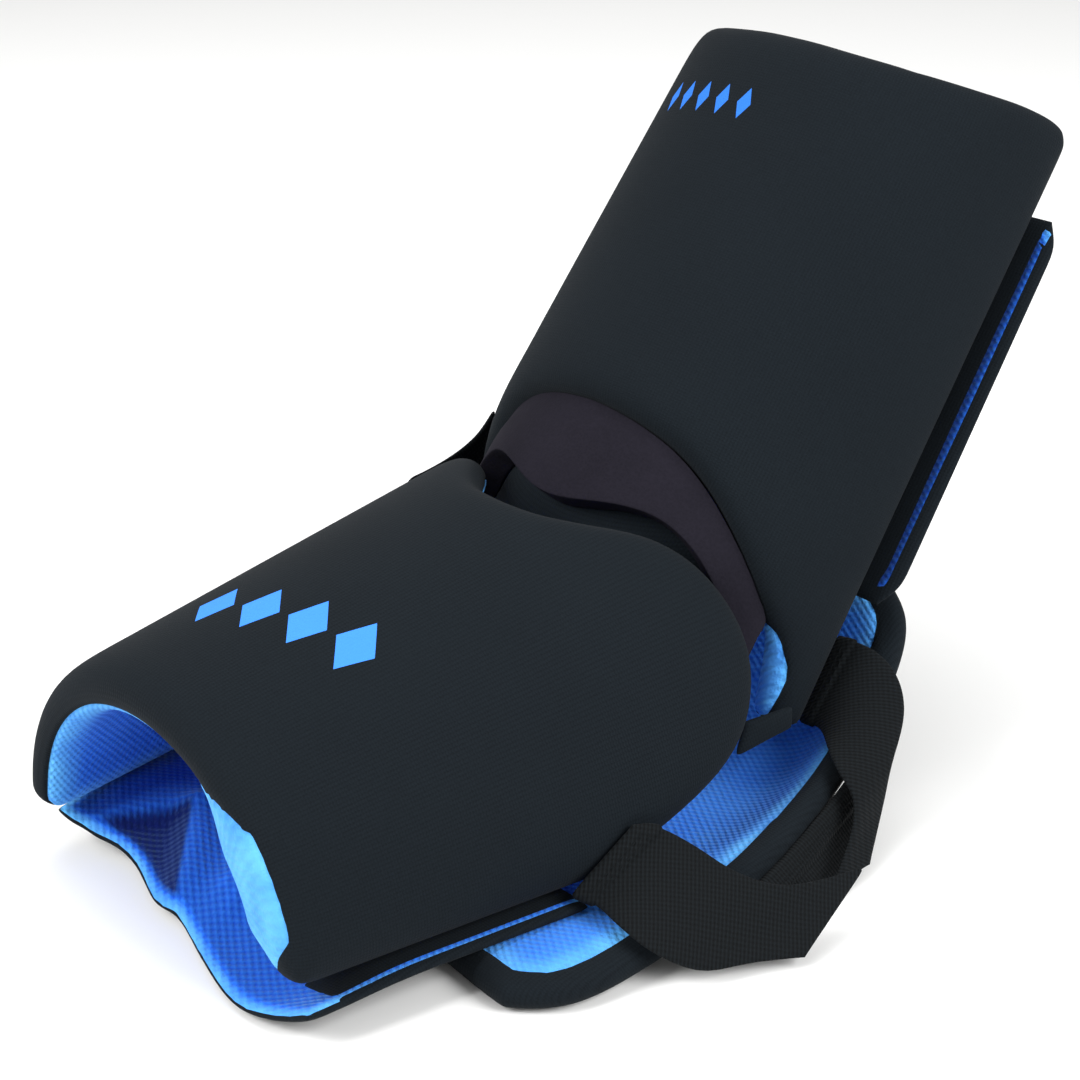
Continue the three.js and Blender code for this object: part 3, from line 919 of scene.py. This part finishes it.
@dataclass
class HingeTongue:
    """Cut foam tongue that bridges the bend between the two shells."""

    finish: Material
    node: str = "hinge_tongue"
    shell: str = "upper_arm_shell"
    edge_round: float = 0.5 * MM
    edge_segments: int = 2
    edge_angle: float = math.radians(50)
    smooth_levels: int = 2
    tuck_reach: tuple[float, float] = (2.0 * MM, 4.5 * MM)
    tuck_share: float = 0.92
    fill: float = 1.0

    def _tucked(self, points: np.ndarray, shell: Object) -> np.ndarray:
        """Press the edge next to the upper arm shell against the shell's rim."""
        surface = surface_of(cad_triangles(shell))
        spots = [surface.find_nearest(Vector(point)) for point in points]
        nearest = np.array([spot[0] for spot in spots])
        share = self.tuck_share * (1 - smooth_step(*self.tuck_reach, np.array([spot[3] for spot in spots])))
        return points + (nearest - points) * share[:, None]

    def build(self, nodes: Mapping[str, Object]) -> Object:
        """Make the tongue from its CAD solid, with its cut edges eased.

        Args:
            nodes: CAD nodes of the frame.

        Returns:
            The finished piece.
        """
        name = "hinge_tongue_foam"
        piece = new_object(name, quad_mesh(name, cad_triangles(nodes[self.node])), [self.finish])
        bevel = piece.modifiers.new("ease", "BEVEL")
        bevel.width = self.edge_round
        bevel.segments = self.edge_segments
        bevel.limit_method = "ANGLE"
        bevel.angle_limit = self.edge_angle
        bake_modifiers(piece)
        subdivide(piece, self.smooth_levels)
        place_points(piece.data, self._tucked(points_of(piece.data), nodes[self.shell]))
        register(piece, Slot.FOAM, self.node)
        return piece


@dataclass
class ElbowCup:
    """Padded cup under the elbow: plush inside, knit outside, with a thick rolled rim."""

    cover: Material
    lining: Material
    node: str = "elbow_pad"
    wall: float = 8.4 * MM
    seam_past: float = 2.2 * MM
    seam_depth: float = 0.35 * MM
    # Pale lining of the cup, palest along its rim: partly brushed pile, partly painted highlight
    brushed_highlight_past: tuple[float, float] = (2.5 * MM, 8.4 * MM)
    brushed_highlight_range: tuple[float, float] = (0.25, 0.95)
    climb_share: float = 0.6
    fill: float = 0.8
    puff: Puff = field(default_factory=lambda: Puff(cap=1.0 * MM))
    arm_centre: Vector = Vector((-30, 17.5, 90)) * MM

    def _cloth(self, points: np.ndarray, lined: np.ndarray) -> np.ndarray:
        """Lay the cloth flat from above, stretched where the cup climbs."""
        return np.stack([points[:, 0] + self.climb_share * points[:, 2], points[:, 1]], axis=1)

    def build(self, nodes: Mapping[str, Object]) -> Object:
        """Make the cup from its CAD solid.

        Args:
            nodes: CAD nodes of the frame.

        Returns:
            The finished piece.
        """
        shape = cad_triangles(nodes[self.node])
        skins = SkinField(shape, self.wall, lambda point: self.arm_centre - point)
        name = "elbow_cup"
        piece = new_object(name, quad_mesh(name, shape), [self.cover, self.lining])
        subdivide(piece, 1)
        self.puff.swell(piece, skins.past(points_of(piece.data)) - self.seam_past)
        subdivide(piece, 1)
        cut_seam(piece.data, skins.past(points_of(piece.data)) - self.seam_past)
        # Painted highlight along the rim and a fainter lift inside, partly brushed pile
        inner_brushed_highlight, brushed_highlight = self.brushed_highlight_range
        nap_and_painted_light = brushed_highlight + (inner_brushed_highlight - brushed_highlight) * smooth_step(*self.brushed_highlight_past, skins.past(points_of(piece.data)))
        press_seam(piece.data, self.seam_depth)
        lay_cloth(piece, self._cloth)
        set_nap_and_painted_light(piece, nap_and_painted_light)
        register(piece, Slot.KNIT, self.node)
        return piece


@dataclass(frozen=True)
class Pleat:
    """Raised fold in a lying cloth, along a bowed line in plan, steep towards one side of it."""

    start: Vector
    end: Vector
    height: float
    bow: float = 0.0
    front: float = 5 * MM
    back: float = 18 * MM
    fade_in: tuple[float, float] = (-0.12, 0.12)
    fade_out: tuple[float, float] = (0.88, 1.12)

    def offset(self, points: np.ndarray) -> tuple[np.ndarray, np.ndarray]:
        """Place points against the fold's line.

        Args:
            points: Array of n points.

        Returns:
            Share along the line, and distance behind it (to its left, seen from above).
        """
        run = (self.end - self.start).xy
        way = run.normalized()
        local = points[:, :2] - np.array(self.start.xy)
        share = local @ np.array(way) / run.length
        behind = local @ np.array((-way.y, way.x))
        return share, behind + self.bow * (1 - (2 * np.clip(share, 0, 1) - 1) ** 2)

    def within(self, share: np.ndarray) -> np.ndarray:
        """Ease the fold out past the two ends of its line."""
        return smooth_step(*self.fade_in, share) * (1 - smooth_step(*self.fade_out, share))

    def rise(self, points: np.ndarray) -> np.ndarray:
        """Height of the fold above the lying cloth at each point."""
        share, behind = self.offset(points)
        steep = 1 - smooth_step(0, self.front, -behind)
        slope = np.where(behind > 0, np.exp(-((behind / self.back) ** 2)), steep)
        return self.height * slope * self.within(share)


@dataclass
class ClosingFlap:
    """Soft flap that closes the open side of a shell: plush towards the arm, knit outside and at its edge."""

    node: str
    cover: Material
    lining: Material
    arm_side: Vector
    edging: Callable[[np.ndarray], np.ndarray]
    flat: tuple[float, float]
    held: Held
    rests_on: tuple[str, ...]
    pleats: tuple[Pleat, ...] = ()
    wall: float = 3.2 * MM
    seam_past: float = -1.0 * MM
    brushed_highlight_past: tuple[float, float] = (-0.5 * MM, 3.0 * MM)
    # Reach and start of the painted shade in the hollow between the two pleats
    shade_reach: float = 2.5 * MM
    shade_start: tuple[float, float] = (-0.1, 0.15)
    smooth_levels: int = 2
    # Painted shade laid over the whole lining, as a negative nap
    tone: float = 0.0

    def _cloth(self, points: np.ndarray, lined: np.ndarray) -> np.ndarray:
        """Lay the cloth flat along its own plane."""
        length = Vector((0, 1, 0)).cross(self.arm_side).normalized()
        return np.stack([points @ np.array(length), points[:, 1]], axis=1)

    def _shade(self, points: np.ndarray) -> np.ndarray:
        """How far points lie in the hollow in front of the first pleat and behind the second, which gets
        painted shade.
        """
        if len(self.pleats) < 2:
            return np.zeros(len(points))
        share, behind_crest = self.pleats[0].offset(points)
        _, behind_ridge = self.pleats[1].offset(points)
        hollow = smooth_step(0, self.shade_reach, -behind_crest) * smooth_step(*self.shade_start, share)
        return hollow * (1 - smooth_step(-self.shade_reach, 0, behind_ridge))

    def build(self, nodes: Mapping[str, Object]) -> Object:
        """Make the flap from its CAD solid.

        Args:
            nodes: CAD nodes of the frame.

        Returns:
            The finished piece.
        """
        shape = cad_triangles(nodes[self.node])
        skins = SkinField(shape, self.wall, lambda point: self.arm_side)
        name = self.node + "_cloth"
        piece = new_object(name, quad_mesh(name, shape), [self.cover, self.lining])
        subdivide(piece, self.smooth_levels)
        points = points_of(piece.data)
        cut_seam(piece.data, np.minimum(skins.past(points) - self.seam_past, self.edging(points)))
        points = points_of(piece.data)
        # Painted highlight along the lining's border, partly brushed pile; painted shade in the hollow and by
        # the tone
        brushed_highlight_share = 1 - smooth_step(*self.brushed_highlight_past, skins.past(points))
        lay_cloth(piece, self._cloth)
        set_nap_and_painted_light(piece, brushed_highlight_share + (1 - brushed_highlight_share) * np.minimum(self.tone, -self._shade(points)))
        points[:, 2] += sum((pleat.rise(points) for pleat in self.pleats), np.zeros(len(points)))
        place_points(piece.data, points)
        register(piece, Slot.PLUSH, self.node)
        return piece


@dataclass(frozen=True)
class SewnEnd:
    """Sewn end of an elastic run: its cut edge from low to high in row millimetres, and the hem beside it."""

    low: tuple[float, float, float]
    high: tuple[float, float, float]
    sewn_to: str | None = None
    hem: float = 4.5 * MM
    hem_ease: tuple[float, float] = (0.9, 1.1)
    rise: float = 0.7 * MM
    clear: float = 0.9 * MM
    drape: float = 14 * MM

    def ends(self) -> tuple[Vector, Vector]:
        """The two ends of the cut edge in metres."""
        return Vector(self.low) * MM, Vector(self.high) * MM

    def distance(self, points: np.ndarray) -> np.ndarray:
        """Distance of points from the line of the cut edge."""
        low, high = self.ends()
        way = np.array((high - low).normalized())
        local = points - np.array(low)
        return np.linalg.norm(local - np.outer(local @ way, way), axis=1)

    def snug(self, points: np.ndarray, surface: BVHTree) -> np.ndarray:
        """Draw the end against the surface that it is sewn to.

        Args:
            points: Points of the elastic run.
            surface: Surface of the piece that carries the end.

        Returns:
            The moved points; those further than the drape from the cut edge stay.
        """
        low, high = (np.array(end) for end in self.ends())
        run = high - low
        share = np.clip((points - low) @ run / (run @ run), 0, 1)
        edge = low + share[:, None] * run
        hits = [surface.find_nearest(Vector(spot)) for spot in edge]
        pull = np.array([hit[0] for hit in hits]) - edge
        gap = np.array([hit[3] for hit in hits])
        part = np.clip(1 - self.clear / gap, 0, 1) * (1 - smooth_step(0, self.drape, self.distance(points)))
        return points + pull * part[:, None]


@dataclass(frozen=True)
class StitchRow:
    """Rows of thread stitches across a sewn end, made with Geometry Nodes."""

    thread: Material
    pitch: float = 2.4 * MM
    length: float = 1.7 * MM
    girth: float = 0.32 * MM
    rows: tuple[float, ...] = (1.6 * MM, 3.6 * MM)
    margin: float = 0.08
    steps: int = 24
    bead_segments: int = 8
    bead_rings: int = 6
    lift: float = 0.2
    outside: Vector = Vector((0, -1, 0.5)) * MM

    def _tree(self) -> NodeTree:
        """Node group that lays one stitch at each step along a line."""
        tree = bpy.data.node_groups.new("stitch_row", "GeometryNodeTree")
        faces = tree.interface
        faces.new_socket("Line", in_out="INPUT", socket_type="NodeSocketGeometry")
        for name in ("Pitch", "Length", "Girth"):
            faces.new_socket(name, in_out="INPUT", socket_type="NodeSocketFloat")
        faces.new_socket("Thread", in_out="INPUT", socket_type="NodeSocketMaterial")
        faces.new_socket("Stitches", in_out="OUTPUT", socket_type="NodeSocketGeometry")
        given = add_node(tree, "NodeGroupInput")
        curve = add_node(tree, "GeometryNodeMeshToCurve", {"Mesh": given.outputs["Line"]})
        paces = {"Curve": curve.outputs[0], "Length": given.outputs["Pitch"]}
        spots = add_node(tree, "GeometryNodeCurveToPoints", paces, mode="LENGTH")
        ball = {"Segments": self.bead_segments, "Rings": self.bead_rings, "Radius": 0.5}
        bead = add_node(tree, "GeometryNodeMeshUVSphere", ball)
        girth = given.outputs["Girth"]
        size = add_node(tree, "ShaderNodeCombineXYZ", {0: girth, 1: girth, 2: given.outputs["Length"]})
        laying = {
            "Points": spots.outputs["Points"],
            "Instance": bead.outputs["Mesh"],
            "Rotation": spots.outputs["Rotation"],
            "Scale": size.outputs[0],
        }
        laid = add_node(tree, "GeometryNodeInstanceOnPoints", laying)
        real = add_node(tree, "GeometryNodeRealizeInstances", {0: laid.outputs[0]})
        smooth = add_node(tree, "GeometryNodeSetShadeSmooth", {0: real.outputs[0]})
        threading = {"Geometry": smooth.outputs[0], "Material": given.outputs["Thread"]}
        sewn = add_node(tree, "GeometryNodeSetMaterial", threading)
        add_node(tree, "NodeGroupOutput", {"Stitches": sewn.outputs[0]})
        return tree

    def sew(self, strap: Object, end: SewnEnd) -> Object:
        """Sew the rows into a strap.

        Args:
            strap: Finished elastic run.
            end: Sewn end of it.

        Returns:
            The stitches as one piece.
        """
        shape = bmesh.new()
        shape.from_mesh(strap.data)
        surface = surface_of(shape)
        low, high = end.ends()
        middle = sum((Vector(corner) for corner in strap.bound_box), Vector()) / len(strap.bound_box)
        inwards = (middle - (low + high) / 2).normalized()
        shares = np.linspace(self.margin, 1 - self.margin, self.steps)
        places: list[Vector] = []
        edges: list[tuple[int, int]] = []
        for row in self.rows:
            first = len(places)
            for share in shares:
                seen = low.lerp(high, share) + inwards * row + self.outside
                spot, normal, _, _ = surface.find_nearest(seen)
                places.append(spot + normal * self.girth * self.lift)
            edges += [(k, k + 1) for k in range(first, len(places) - 1)]
        mesh = bpy.data.meshes.new(strap.name + "_stitches")
        mesh.from_pydata(places, edges, [])
        piece = new_object(mesh.name, mesh, [])
        modifier = piece.modifiers.new("stitches", "NODES")
        tree = self._tree()
        modifier.node_group = tree
        values = {"Pitch": self.pitch, "Length": self.length, "Girth": self.girth, "Thread": self.thread}
        for item in tree.interface.items_tree:
            if item.in_out == "INPUT" and item.name in values:
                modifier[item.identifier] = values[item.name]
        bake_modifiers(piece)
        register(piece, Slot.ELASTIC)
        return piece


@dataclass
class ElasticRun:
    """One run of woven elastic, or a thin web."""

    node: str
    finish: Material
    sewn_end: SewnEnd | None = None
    stitches: StitchRow | None = None
    flat: tuple[float, float] | None = None
    rests_on: tuple[str, ...] = ("hinge_tongue_foam",)
    plain_levels: int = 2
    hemmed_levels: int = 3

    def _cloth(self, points: np.ndarray, lined: np.ndarray) -> np.ndarray:
        """Lay the weave along the run's longest direction."""
        centred = points - points.mean(axis=0)
        _, _, ways = np.linalg.svd(centred, full_matrices=False)
        return centred @ ways[:2].T

    def build(self, nodes: Mapping[str, Object]) -> Object:
        """Make the run from its CAD solid.

        Args:
            nodes: CAD nodes of the frame.

        Returns:
            The finished piece.
        """
        name = self.node + "_woven"
        piece = new_object(name, quad_mesh(name, cad_triangles(nodes[self.node])), [self.finish])
        subdivide(piece, self.hemmed_levels if self.sewn_end else self.plain_levels)
        if self.sewn_end is not None:
            points = points_of(piece.data)
            from_edge = self.sewn_end.distance(points) / self.sewn_end.hem
            hem = 1 - smooth_step(*self.sewn_end.hem_ease, from_edge)
            raised = points + normals_of(piece.data) * (hem * self.sewn_end.rise)[:, None]
            if self.sewn_end.sewn_to is not None:
                carrier = cad_triangles(nodes[self.sewn_end.sewn_to])
                raised = self.sewn_end.snug(raised, surface_of(carrier))
            place_points(piece.data, raised)
        lay_cloth(piece, self._cloth)
        register(piece, Slot.ELASTIC, self.node)
        if self.sewn_end is not None and self.stitches is not None:
            self.stitches.sew(piece, self.sewn_end)
        return piece


@dataclass(frozen=True)
class SoftBox:
    """One soft studio light."""

    name: str
    place: Vector
    size: float
    power: float


@dataclass(frozen=True)
class Studio:
    """Camera of the photograph, a pale floor and soft lights."""

    target: Vector = Vector((-5.9, 17.5, 69.0)) * MM
    azimuth: float = math.radians(-41.24)
    elevation: float = math.radians(24.87)
    roll: float = math.radians(-0.75)
    distance: float = 634.4 * MM
    lens: float = 80.0
    sensor: float = 36.0
    floor_half: float = 3.0
    floor_colour: str = "#f2f2f1"
    floor_roughness: float = 0.9
    floor_specular: float = 0.1
    sky_colour: str = "#ffffff"
    sky_strength: float = 0.5
    nearest_seen: float = 10 * MM
    lights: tuple[SoftBox, ...] = (
        SoftBox("key", Vector((-0.95, 0.35, 0.8)), size=0.6, power=15.0),
        SoftBox("front", Vector((0.25, -1.0, 0.75)), size=0.7, power=16.0),
        SoftBox("top", Vector((0.1, 0.3, 1.2)), size=0.9, power=6.0),
    )

    def build(self) -> None:
        """Set up the camera, floor, world and lights."""
        self._camera()
        self._floor()
        self._sky()
        for light in self.lights:
            self._soft_box(light)
        bpy.context.scene.view_settings.view_transform = "Standard"

    def _axes(self) -> tuple[Vector, Vector, Vector]:
        """Right, up and back directions of the camera."""
        level = math.cos(self.elevation)
        across = math.sin(self.azimuth) * level
        forward = -math.cos(self.azimuth) * level
        back = Vector((across, forward, math.sin(self.elevation)))
        right = Vector((0, 0, 1)).cross(back).normalized()
        up = back.cross(right)
        turned_right = right * math.cos(self.roll) + up * math.sin(self.roll)
        turned_up = up * math.cos(self.roll) - right * math.sin(self.roll)
        return turned_right, turned_up, back

    def _camera(self) -> None:
        """Place the camera at the photograph's viewpoint."""
        right, up, back = self._axes()
        data = bpy.data.cameras.new("photo_camera")
        data.lens = self.lens
        data.sensor_width = self.sensor
        data.sensor_height = self.sensor
        data.clip_start = self.nearest_seen
        camera = bpy.data.objects.new("photo_camera", data)
        turn = Matrix((right, up, back)).transposed().to_4x4()
        camera.matrix_world = Matrix.Translation(self.target + back * self.distance) @ turn
        bpy.context.scene.collection.objects.link(camera)
        bpy.context.scene.camera = camera

    def _floor(self) -> None:
        """Lay a plain pale floor under the guard."""
        half = self.floor_half
        corners = [(-half, -half, 0), (half, -half, 0), (half, half, 0), (-half, half, 0)]
        mesh = bpy.data.meshes.new("floor")
        mesh.from_pydata(corners, [], [(0, 1, 2, 3)])
        material, tree = new_material("floor_paper")
        paper = {
            "Base Color": to_linear(self.floor_colour),
            "Roughness": self.floor_roughness,
            "Specular IOR Level": self.floor_specular,
        }
        shader = add_node(tree, "ShaderNodeBsdfPrincipled", paper)
        add_node(tree, "ShaderNodeOutputMaterial", {"Surface": shader.outputs["BSDF"]})
        new_object("floor", mesh, [material])

    def _sky(self) -> None:
        """Fill the white room with even light."""
        world = bpy.data.worlds.new("studio")
        world.use_nodes = True
        world.node_tree.nodes.clear()
        even_light = {"Color": to_linear(self.sky_colour), "Strength": self.sky_strength}
        sky = add_node(world.node_tree, "ShaderNodeBackground", even_light)
        add_node(world.node_tree, "ShaderNodeOutputWorld", {"Surface": sky.outputs[0]})
        bpy.context.scene.world = world

    def _soft_box(self, light: SoftBox) -> None:
        """Hang one soft box and aim it at the guard."""
        data = bpy.data.lights.new(light.name, "AREA")
        data.size = light.size
        data.energy = light.power
        lamp = bpy.data.objects.new(light.name, data)
        lamp.location = light.place
        lamp.rotation_euler = (self.target - light.place).to_track_quat("-Z", "Y").to_euler()
        bpy.context.scene.collection.objects.link(lamp)


@dataclass
class ArmGuard:
    """The whole guard, dressed piece by piece over its CAD frame."""

    nodes: Mapping[str, Object]
    finishes: Finishes
    wrist_overhang: float = 1.2 * MM
    foot_z: float = 13.5 * MM
    wrist_radius: float = 59.6 * MM
    bend_radius: float = 77.0 * MM
    forearm_length: float = 122.2 * MM
    elbow_from_wrist: float = 157.4 * MM
    elbow_z: float = 21.0 * MM
    elbow_radius: float = 67.6 * MM
    top_radius: float = 60.8 * MM
    upper_length: float = 175.6 * MM
    lean: float = math.radians(51.5)
    sway: float = 0.0107
    # Black band of painted shadow on the flaps, where the shell's edge shades them
    shadow_strip_middle: float = 8.0 * MM
    shadow_strip_half: float = 6.0 * MM
    forearm_binding: float = 0.6 * MM
    edging_corner: float = 12 * MM
    upper_binding: float = 3.2 * MM
    # Middle of the black band of painted shadow on the upper arm flap
    upper_shadow_strip_middle: float = 11.6 * MM
    upper_end_binding: float = 4 * MM
    upper_flap_taper: float = 4.4 * MM
    fold_corner: Vector = Vector((-99, 46, 0)) * MM
    tip_angles: tuple[tuple[float, float, float, float], ...] = ((-81, -76, -70, -61), (61, 70, 76, 81))

    def __post_init__(self) -> None:
        """Read the arm's line off the forearm shell of the frame."""
        low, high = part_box("forearm_shell")
        wrist = Vector((low.x + self.wrist_overhang, (low.y + high.y) / 2, self.foot_z))
        self.forearm = ArmTube(
            start=wrist,
            axis=Vector((1, 0, 0)),
            outward=Vector((0, 0, 1)),
            radius=self.wrist_radius,
            taper=(self.bend_radius - self.wrist_radius) / self.forearm_length,
        )
        self.upper = ArmTube(
            start=Vector((wrist.x + self.elbow_from_wrist, wrist.y, self.elbow_z)),
            axis=Vector((math.cos(self.lean), self.sway, math.sin(self.lean))).normalized(),
            outward=Vector((-math.sin(self.lean), 0, math.cos(self.lean))),
            radius=self.elbow_radius,
            taper=(self.top_radius - self.elbow_radius) / self.upper_length,
        )

    def _forearm_edging(self, points: np.ndarray) -> np.ndarray:
        """Positive where the forearm flap shows its lining: all but a thin black binding at the near edge and
        a black strip of painted shadow just inside it.
        """
        # The painted shadow strip and the binding outside it stop short of the wrist
        along, _, _ = self.forearm.measure(points)
        half_width = self.forearm.radius + self.forearm.taper * along
        from_edge = points[:, 1] - self.forearm.start.y + half_width
        corner = self.edging_corner - (along - along.min())
        # Black band of painted shadow between the blue line and the shell's edge
        painted_shadow_band = np.abs(from_edge - self.shadow_strip_middle) - self.shadow_strip_half
        return np.maximum(np.minimum(from_edge - self.forearm_binding, painted_shadow_band), corner)

    def _upper_edging(self, points: np.ndarray) -> np.ndarray:
        """Positive where the upper arm flap shows its lining: inside its black edges, but for one strip of
        painted shadow.
        """
        along, _, _ = self.upper.measure(points)
        span = along.max() - along.min()
        share = (along - along.min()) / span
        from_edge = points[:, 1] - points[:, 1].min() - self.upper_flap_taper * share
        # Black band of painted shadow between the blue line and the shell's edge
        painted_shadow_band = np.abs(from_edge - self.upper_shadow_strip_middle) - self.shadow_strip_half
        ends = np.minimum(along - along.min(), along.max() - along) - self.upper_end_binding
        return np.minimum(np.minimum(from_edge - self.upper_binding, painted_shadow_band), ends)

    def build(self) -> list[Object]:
        """Build every piece.

        Returns:
            The pieces in the order they were made.
        """
        looks = self.finishes
        makers = [
            FoamShell(
                node="forearm_shell",
                tube=self.forearm,
                cover=looks.forearm_knit,
                lining=looks.plush,
                seam_past=-6.5 * MM,
                wraps=(
                    RimWrap(
                        angles=(-89, -74, -52, -24), reach=(25 * MM, 45 * MM), drawn=5.0 * MM, swell=10 * MM
                    ),
                ),
            ),
            FoamShell(
                node="upper_arm_shell",
                tube=self.upper,
                cover=looks.upper_knit,
                lining=looks.plush,
                seam_past=6 * MM,
                wraps=tuple(
                    RimWrap(angles=arc, reach=(30 * MM, 45 * MM), drawn=17.2 * MM) for arc in self.tip_angles
                ),
            ),
            HingeTongue(looks.foam),
            ElbowCup(looks.knit, looks.plush),
            ClosingFlap(
                node="forearm_flap",
                cover=looks.knit,
                lining=looks.plush,
                arm_side=Vector((0, 0, 1)),
                edging=self._forearm_edging,
                flat=(0.132, 0.076),
                held=Held.HUNG,
                # Painted shade darkens this lining, which lies in the shell's hollow
                tone=-0.4,
                rests_on=("elbow_cup",),
                pleats=(
                    Pleat(
                        start=Vector((-130, 71, 0)) * MM,
                        end=self.fold_corner,
                        height=3.5 * MM,
                        bow=-2 * MM,
                        fade_in=(0.1, 0.5),
                        fade_out=(1.0, 1.3),
                    ),
                    Pleat(
                        start=self.fold_corner,
                        end=Vector((-126.8, 16, 0)) * MM,
                        height=4 * MM,
                        front=9 * MM,
                        back=7 * MM,
                        fade_out=(0.6, 1.05),
                    ),
                ),
            ),
            ClosingFlap(
                node="upper_arm_flap",
                cover=looks.knit,
                lining=looks.plush,
                arm_side=self.upper.outward,
                edging=self._upper_edging,
                flat=(0.128, 0.112),
                held=Held.STRETCHED,
                # Painted shade darkens this lining strip, which lies in the shell's shadow
                tone=-0.9,
                rests_on=("upper_arm_shell_padded",),
            ),
        ]
        stitches = StitchRow(looks.elastic)
        sewn_ends = {
            "near_strap_forearm": SewnEnd((-58.3, -54.4, 16.0), (-40.8, -56.0, 27.6)),
            "near_strap_upper": SewnEnd((32.0, -44.1, 26.0), (46.2, -43.2, 43.8)),
            "near_strap_pad": SewnEnd((-22.8, -78.0, 8.0), (26.7, -67.6, 18.6), sewn_to="elbow_pad"),
        }
        makers += [ElasticRun(node, looks.elastic, end, stitches) for node, end in sewn_ends.items()]
        makers.append(ElasticRun("far_strap", looks.elastic))
        makers += [ElasticRun(node, looks.knit) for node in ("near_link", "far_link")]
        makers.append(ElasticRun("hinge_web", looks.knit, flat=(0.110, 0.020)))
        return [maker.build(self.nodes) for maker in makers]


def main() -> None:
    """Build the guard and its studio, and log how many pieces were built."""
    logging.basicConfig(level=logging.INFO, format="%(message)s")
    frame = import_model()
    forearm_motif = Motif(
        along=41 * MM,
        around=-3 * MM,
        tilt=math.radians(-72),
        pitch=13 * MM,
        count=4,
        half_width=5.2 * MM,
        half_height=9 * MM,
    )
    upper_motif = Motif(
        along=145.5 * MM,
        around=17 * MM,
        tilt=math.radians(-90),
        pitch=9 * MM,
        count=5,
        half_width=2.6 * MM,
        half_height=4.6 * MM,
        ink="#2f6fcf",
    )
    finishes = Finishes(
        forearm_knit=StretchKnit(name="stretch_knit_black_forearm", motif=forearm_motif).material(),
        upper_knit=StretchKnit(name="stretch_knit_black_upper", motif=upper_motif).material(),
        knit=StretchKnit().material(),
        plush=BrushedPlush().material(),
        foam=CutFoam().material(),
        elastic=WovenElastic().material(),
    )
    Studio().build()
    pieces = ArmGuard(frame["nodes"], finishes).build()
    LOG.info("%d pieces built", len(pieces))


if __name__ == "__main__":
    main()
